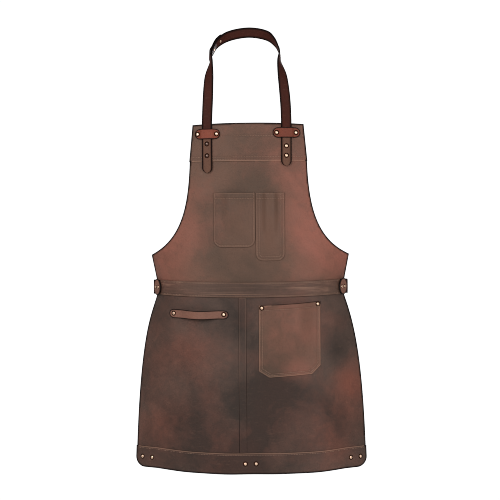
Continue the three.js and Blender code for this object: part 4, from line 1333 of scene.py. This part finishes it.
def make_side_tabs():
    turns = [math.radians(a) for a in range(0, 360, 6)]
    for label, side in (("left", -1), ("right", 1)):
        middle = side * TAB_X
        oval = [
            (middle + TAB_SPAN / 2 * math.cos(t), WAIST_MIDDLE + TAB_HEIGHT / 2 * math.sin(t)) for t in turns
        ]
        tab = leather_piece(f"side_tab_{label}_leather", oval, TAB_LAYER, step=FINEST_STEP)
        dress(tab, "skirt", [f"side_tab_{label}"], "red_leather", look="loop_leather")


def right_waist_strap():
    """The right half, folded back round the buckle's bar, with a slot there for the prong."""
    bend = BAR_RADIUS + BAR_ROOM + BELT_THICKNESS / 2
    turns = np.radians([-70, -110, -150, -190, -230, -270])
    wrap = [(bend * math.cos(a), bend * math.sin(a)) for a in turns]
    plan = [(50, 0), (20, 0), (8, -1.4)] + wrap + [(5, 2.9)]
    stations = side_start(1) + strap_back(1, 0) + [(BUCKLE_X + x, BACK_Y + y, BELT_Z) for x, y in plan]
    strap = strap_in_plan("waist_strap_right_leather", stations, round_end=False)
    return slotted(
        strap,
        (BUCKLE_X - 7, BACK_Y - 7, BELT_Z - PRONG_SLOT_HALF),
        (BUCKLE_X + 9, BACK_Y + 7, BELT_Z + PRONG_SLOT_HALF),
    )


def left_waist_strap():
    """The left half, which runs through the buckle and ends in a round tail behind the right half."""
    roller = -BUCKLE_LENGTH
    plan = [
        (roller - 25, -LEFT_SETBACK),
        (roller, -LEFT_SETBACK),
        (roller + 9, 0.7 - LEFT_SETBACK),
        (-6, TAIL_OVER_FOLD - 0.3),
        (3, TAIL_OVER_FOLD),
        (11, TAIL_OVER_FOLD - 1.6),
        (21, TAIL_OVER_STRAP),
        (TAIL_LENGTH - 30, TAIL_OVER_STRAP),
        (TAIL_LENGTH, TAIL_OVER_STRAP),
    ]
    way = side_start(-1) + strap_back(-1, LEFT_SETBACK)
    stations = way + [(BUCKLE_X + x, BACK_Y + y, BELT_Z) for x, y in plan]
    strap = strap_in_plan("waist_strap_left_leather", stations, round_end=True)
    return slotted(
        strap,
        (BUCKLE_X - 18, BACK_Y - 4, BELT_Z - PRONG_SLOT_HALF),
        (BUCKLE_X + 3.5, BACK_Y + 11, BELT_Z + PRONG_SLOT_HALF),
    )


def make_waist_strap():
    right = right_waist_strap()
    left = left_waist_strap()
    for label, strap in (("left", left), ("right", right)):
        nodes = [f"waist_strap_{label}", f"waist_strap_anchor_{label}"]
        dress(strap, "waist_strap", nodes, "strap_leather", rides=False)
        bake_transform(strap)


def rounded_rectangle(left, right, low, high, radius):
    """Points round a rectangle whose corners are arcs."""
    ring = []
    for x, z, start in (
        (right - radius, high - radius, 0),
        (left + radius, high - radius, 90),
        (left + radius, low + radius, 180),
        (right - radius, low + radius, 270),
    ):
        turns = [math.radians(start + turn) for turn in range(0, 91, 15)]
        ring += [(x + radius * math.cos(a), z + radius * math.sin(a)) for a in turns]
    return ring


def make_belt_keeper():
    """The leather ring that slides along the two layers of the waist strap."""
    reach = BELT_KEEPER_ROOM + HIDE / 2
    inside_y = BACK_Y - BELT_THICKNESS / 2 - reach
    outside_y = BACK_Y + TAIL_OVER_STRAP + BELT_THICKNESS / 2 + reach
    top = BELT_WIDTH / 2 + reach
    x = BELT_KEEPER_X + BELT_KEEPER_WIDTH / 2
    ring = np.array([(x, y, BELT_Z + z) for y, z in rounded_rectangle(inside_y, outside_y, -top, top, 1.5)])
    across = np.tile([-1.0, 0, 0], (len(ring), 1))
    section = strap_section(BELT_KEEPER_WIDTH, HIDE)
    keeper = swept("belt_keeper_leather", ring, across, section, closed=True)
    dress(keeper, "belt_keeper", ["belt_keeper"], "red_leather")


def make_buckle_frame():
    reach = BELT_WIDTH / 2 + RAIL_ROOM + RAIL_THICKNESS / 2
    ring = np.array(
        [
            (BUCKLE_X + x, BACK_Y - x / BUCKLE_LENGTH * BUCKLE_RISE, BELT_Z + z)
            for x, z in rounded_rectangle(-BUCKLE_LENGTH, 0, -reach, reach, RAIL_CORNER)
        ]
    )
    out = np.tile([0.0, 1.0, 0.0], (len(ring), 1))
    wire = swept("buckle_frame_wire", ring, out, round_section(BAR_RADIUS), closed=True)
    dress(wire, "buckle", ["buckle_frame"], "steel")


def make_roller():
    half = BELT_WIDTH / 2 + 1
    right = [(ROLLER_BORE, half), (ROLLER_RADIUS - 0.3, half), (ROLLER_RADIUS, half - 0.4)]
    profile = [(radius, -height) for radius, height in right] + right[::-1]
    roller = turned("buckle_roller_tube", profile, closed=True)
    place_turned(roller, (BUCKLE_X - BUCKLE_LENGTH, BACK_Y + BUCKLE_RISE, BELT_Z), (0, 0, 1))
    dress(roller, "roller", ["buckle_roller"], "steel")


def make_prong():
    """A flattened wire that hooks round the bar and rests over the roller."""
    hook_radius = BAR_RADIUS + BAR_ROOM + PRONG_HALF[1]
    tip = BUCKLE_RISE + ROLLER_RADIUS + PRONG_GAP + PRONG_THICKNESS / 2
    plan = [(hook_radius * math.cos(a), hook_radius * math.sin(a)) for a in np.radians(range(-240, 91, 15))]
    plan += [(-5, hook_radius + 0.8), (-12, hook_radius + 2.6), (-22, tip - 1.2), (-BUCKLE_LENGTH, tip)]
    plan.append((-BUCKLE_LENGTH - 4.5, tip - 0.5))
    path = np.array([(BUCKLE_X + x, BACK_Y + y, BELT_Z) for x, y in plan])
    sizes = np.ones(len(path))
    sizes[-1] = 0.6
    across = np.tile([0.0, 0, 1.0], (len(path), 1))
    section = round_section(1.0) * np.array(PRONG_HALF)
    prong = swept("buckle_prong_wire", path, across, section, narrow=sizes)
    dress(prong, "prong", ["buckle_prong"], "steel")


# ---- Rivets ----


def turned(name, profile, closed=False, sides=28):
    """A profile of (radius, height) turned about Z, in millimetres."""
    turns = [2 * math.pi * k / sides for k in range(sides)]
    vertices = [
        (radius * math.cos(a) * MM, radius * math.sin(a) * MM, height * MM)
        for radius, height in profile
        for a in turns
    ]
    return fixed_normals(add_mesh(name, vertices, ring_faces(len(profile), sides, closed)))


def place_turned(piece, place, axis):
    piece.rotation_mode = "QUATERNION"
    piece.rotation_quaternion = Vector(axis).to_track_quat("Z", "Y")
    piece.location = Vector(place) * MM


def rivet_profile(low, high, ring):
    """Back head, shank and a domed cap with a rolled rim on a thin ring, as (radius, height)."""
    back = low - RIVET_GAP
    front = high + RIVET_GAP * 0.3
    rim = front + 0.55
    profile = [(0.3, back - 1.1), (2.9, back - 1.1), (3.6, back - 0.7), (3.8, back - 0.1), (3.4, back)]
    profile += [(1.8, back), (1.8, front), (CAP_RADIUS + ring, front), (CAP_RADIUS + ring, front + 0.25)]
    profile += [(CAP_RADIUS + 0.2, front + 0.4), (CAP_RADIUS + 0.1, rim), (CAP_RADIUS - 0.1, rim + 0.2)]
    profile += [(CAP_RADIUS - 0.35, rim + 0.3), (CAP_RADIUS - 0.8, rim + 0.35)]
    turns = [math.radians(turn) for turn in range(20, 91, 10)]
    dome = [((CAP_RADIUS - 0.9) * math.cos(a) + 0.15, (CAP_HEIGHT - 0.65) * math.sin(a)) for a in turns]
    return profile + [(radius, rim + 0.1 + rise) for radius, rise in dome]


def make_rivet(node, place, axis, low, high, ring=RIVET_RING):
    """A rivet whose ring and rolled rim are dark with wax and tarnish; the dark ring round the cap is also a
    painted contact shadow.
    """
    rivet = turned(node + "_metal", rivet_profile(low, high, ring))
    rivet.data.materials.append(materials[slot_of_node[node]])
    rivet.data.materials.append(materials["tarnish"])
    # The ring and rolled rim take the tarnish, which on the ring also paints the cap's contact shadow.
    for part in rivet.data.polygons:
        if math.hypot(part.center.x, part.center.y) > (CAP_RADIUS - 0.75) * MM:
            part.material_index = 1
    place_turned(rivet, place, axis)
    dress(rivet, body_of_node[node], [node], slot_of_node[node])


def face_rivet(node, x, drop, high, ring=RIVET_RING):
    make_rivet(node, face(x, drop, 0) / MM, normal_at_spot(x, drop), FIRST, high, ring)


def make_rivets():
    for side, strap_x, drop, *_ in KEEPERS:
        for end, sign in (("left", -1), ("right", 1)):
            x = strap_x + sign * KEEPER_RIVET_REACH
            face_rivet(f"keeper_rivet_{side}_{end}", x, drop, THIRD + HIDE)

    strap_front = THIRD + STRAP_THICKNESS
    front = SECOND + HIDE
    left, right, top = (TOOL_POCKET[edge] for edge in ("left", "right", "top"))
    for node, x, drop, high in (
        ("strap_stud_upper", LEFT_STRAP_X, 51, strap_front),
        ("strap_stud_lower", LEFT_STRAP_X, 82, strap_front),
        ("strap_rivet_upper", RIGHT_STRAP_X, 58, strap_front),
        ("strap_rivet_lower", RIGHT_STRAP_X, 83, strap_front),
        ("tool_pocket_rivet_left", left + 8, top + TOOL_POCKET_SLOPE + 7, front + MOUTH_ROLL),
        ("tool_pocket_rivet_right", right - 7, top + 7, front + MOUTH_ROLL),
        ("towel_loop_rivet_left", LOOP_LEFT + LOOP_RIVET_INSET, LOOP_DROP - 1, front + 0.3),
        ("towel_loop_rivet_right", LOOP_RIGHT - LOOP_RIVET_INSET, LOOP_DROP - 1, front + 0.3),
    ):
        face_rivet(node, x, drop, high)

    hem_drop = APRON_LENGTH - HEM_HEIGHT / 2
    half = skirt_half(hem_drop)
    for place, spots in (
        ("left", (19 - half, 46 - half)),
        ("middle", (SEAM_X + 5, SEAM_X + 34)),
        ("right", (half - 43, half - 17)),
    ):
        for number, x in enumerate(spots, 1):
            face_rivet(f"hem_rivet_{place}_{number}", x, hem_drop, front)

    for side, sign in (("left", -1), ("right", 1)):
        for number, shift in ((1, -0.2 * TAB_SPAN), (2, 0.2 * TAB_SPAN - 1)):
            x = sign * (TAB_X + shift)
            face_rivet(f"tab_rivet_{side}_{number}", x, WAIST_MIDDLE, TAB_LAYER + HIDE, TAB_RIVET_RING)

    points, _, out = neck_path()
    half_strap = STRAP_THICKNESS / 2
    for label, share in (("lower", 0.32), ("upper", 0.39)):
        index = round(share * (len(points) - 1))
        node = "neck_join_rivet_" + label
        make_rivet(node, points[index], out[index], -half_strap, half_strap + LAP_RAISE)


# ---- Studio ----


def make_world():
    """White behind the apron, and a softer white light on it."""
    world = bpy.data.worlds.new("studio")
    bpy.context.scene.world = world
    world.use_nodes = True
    tree = world.node_tree
    background = tree.nodes["Background"]
    background.inputs["Color"].default_value = (1, 1, 1, 1)
    seen = tree.nodes.new("ShaderNodeLightPath").outputs["Is Camera Ray"]
    strength = tree.nodes.new("ShaderNodeMapRange")
    strength.inputs["To Min"].default_value = WORLD_LIGHT
    strength.inputs["To Max"].default_value = WORLD_SEEN
    tree.links.new(seen, strength.inputs["Value"])
    tree.links.new(strength.outputs["Result"], background.inputs["Strength"])


def make_lights():
    for name, place, power in (
        ("key", (-1.3, -3.0, 0.7), 64),
        ("fill", (1.9, -2.9, -0.3), 41),
        ("back", (0.6, 3.2, 0.4), 70),
    ):
        light = bpy.data.lights.new(name, "AREA")
        light.size = LIGHT_SIZE
        light.energy = power
        lamp = bpy.data.objects.new(name, light)
        bpy.context.scene.collection.objects.link(lamp)
        lamp.visible_camera = False
        lamp.location = place
        aim = Vector(LIGHT_TARGET) - Vector(place)
        lamp.rotation_mode = "QUATERNION"
        lamp.rotation_quaternion = aim.to_track_quat("-Z", "Y")


def make_floor():
    left, right, front, back = -FLOOR_REACH, FLOOR_REACH, -FLOOR_REACH, FLOOR_BACK
    corners = [(left, front, FLOOR_Z), (right, front, FLOOR_Z), (right, back, FLOOR_Z), (left, back, FLOOR_Z)]
    floor = add_mesh("floor", corners, [(0, 1, 2, 3)])
    paint = Shader("pale_floor")
    tone = paint.noise(4, detail=3)
    paint.surface("Base Color", paint.mix(tone, (0.8, 0.8, 0.79, 1), (0.86, 0.86, 0.85, 1)))
    paint.surface("Roughness", 0.8)
    floor.data.materials.append(paint.material)


def make_camera():
    scene = bpy.context.scene
    scene.view_settings.view_transform = "Standard"
    scene.cycles.filter_width = PIXEL_SOFTNESS
    data = bpy.data.cameras.new("camera")
    data.lens = CAMERA_LENS
    data.sensor_width = 36
    camera = bpy.data.objects.new("camera", data)
    scene.collection.objects.link(camera)
    turn = math.radians(CAMERA_TURN)
    target = Vector((CAMERA_ASIDE, -NECK_DEPTH * MM, CAMERA_HEIGHT))
    camera.location = target + Vector((math.sin(turn), -math.cos(turn), 0)) * CAMERA_DISTANCE
    camera.rotation_euler = (math.pi / 2, math.radians(CAMERA_ROLL), turn)
    scene.camera = camera


make_camera()
make_world()
make_lights()
make_floor()
make_bib()
make_neck_strap()
make_strap_keepers()
make_skirt()
make_side_tabs()
make_waist_strap()
make_belt_keeper()
make_buckle_frame()
make_roller()
make_prong()
make_rivets()
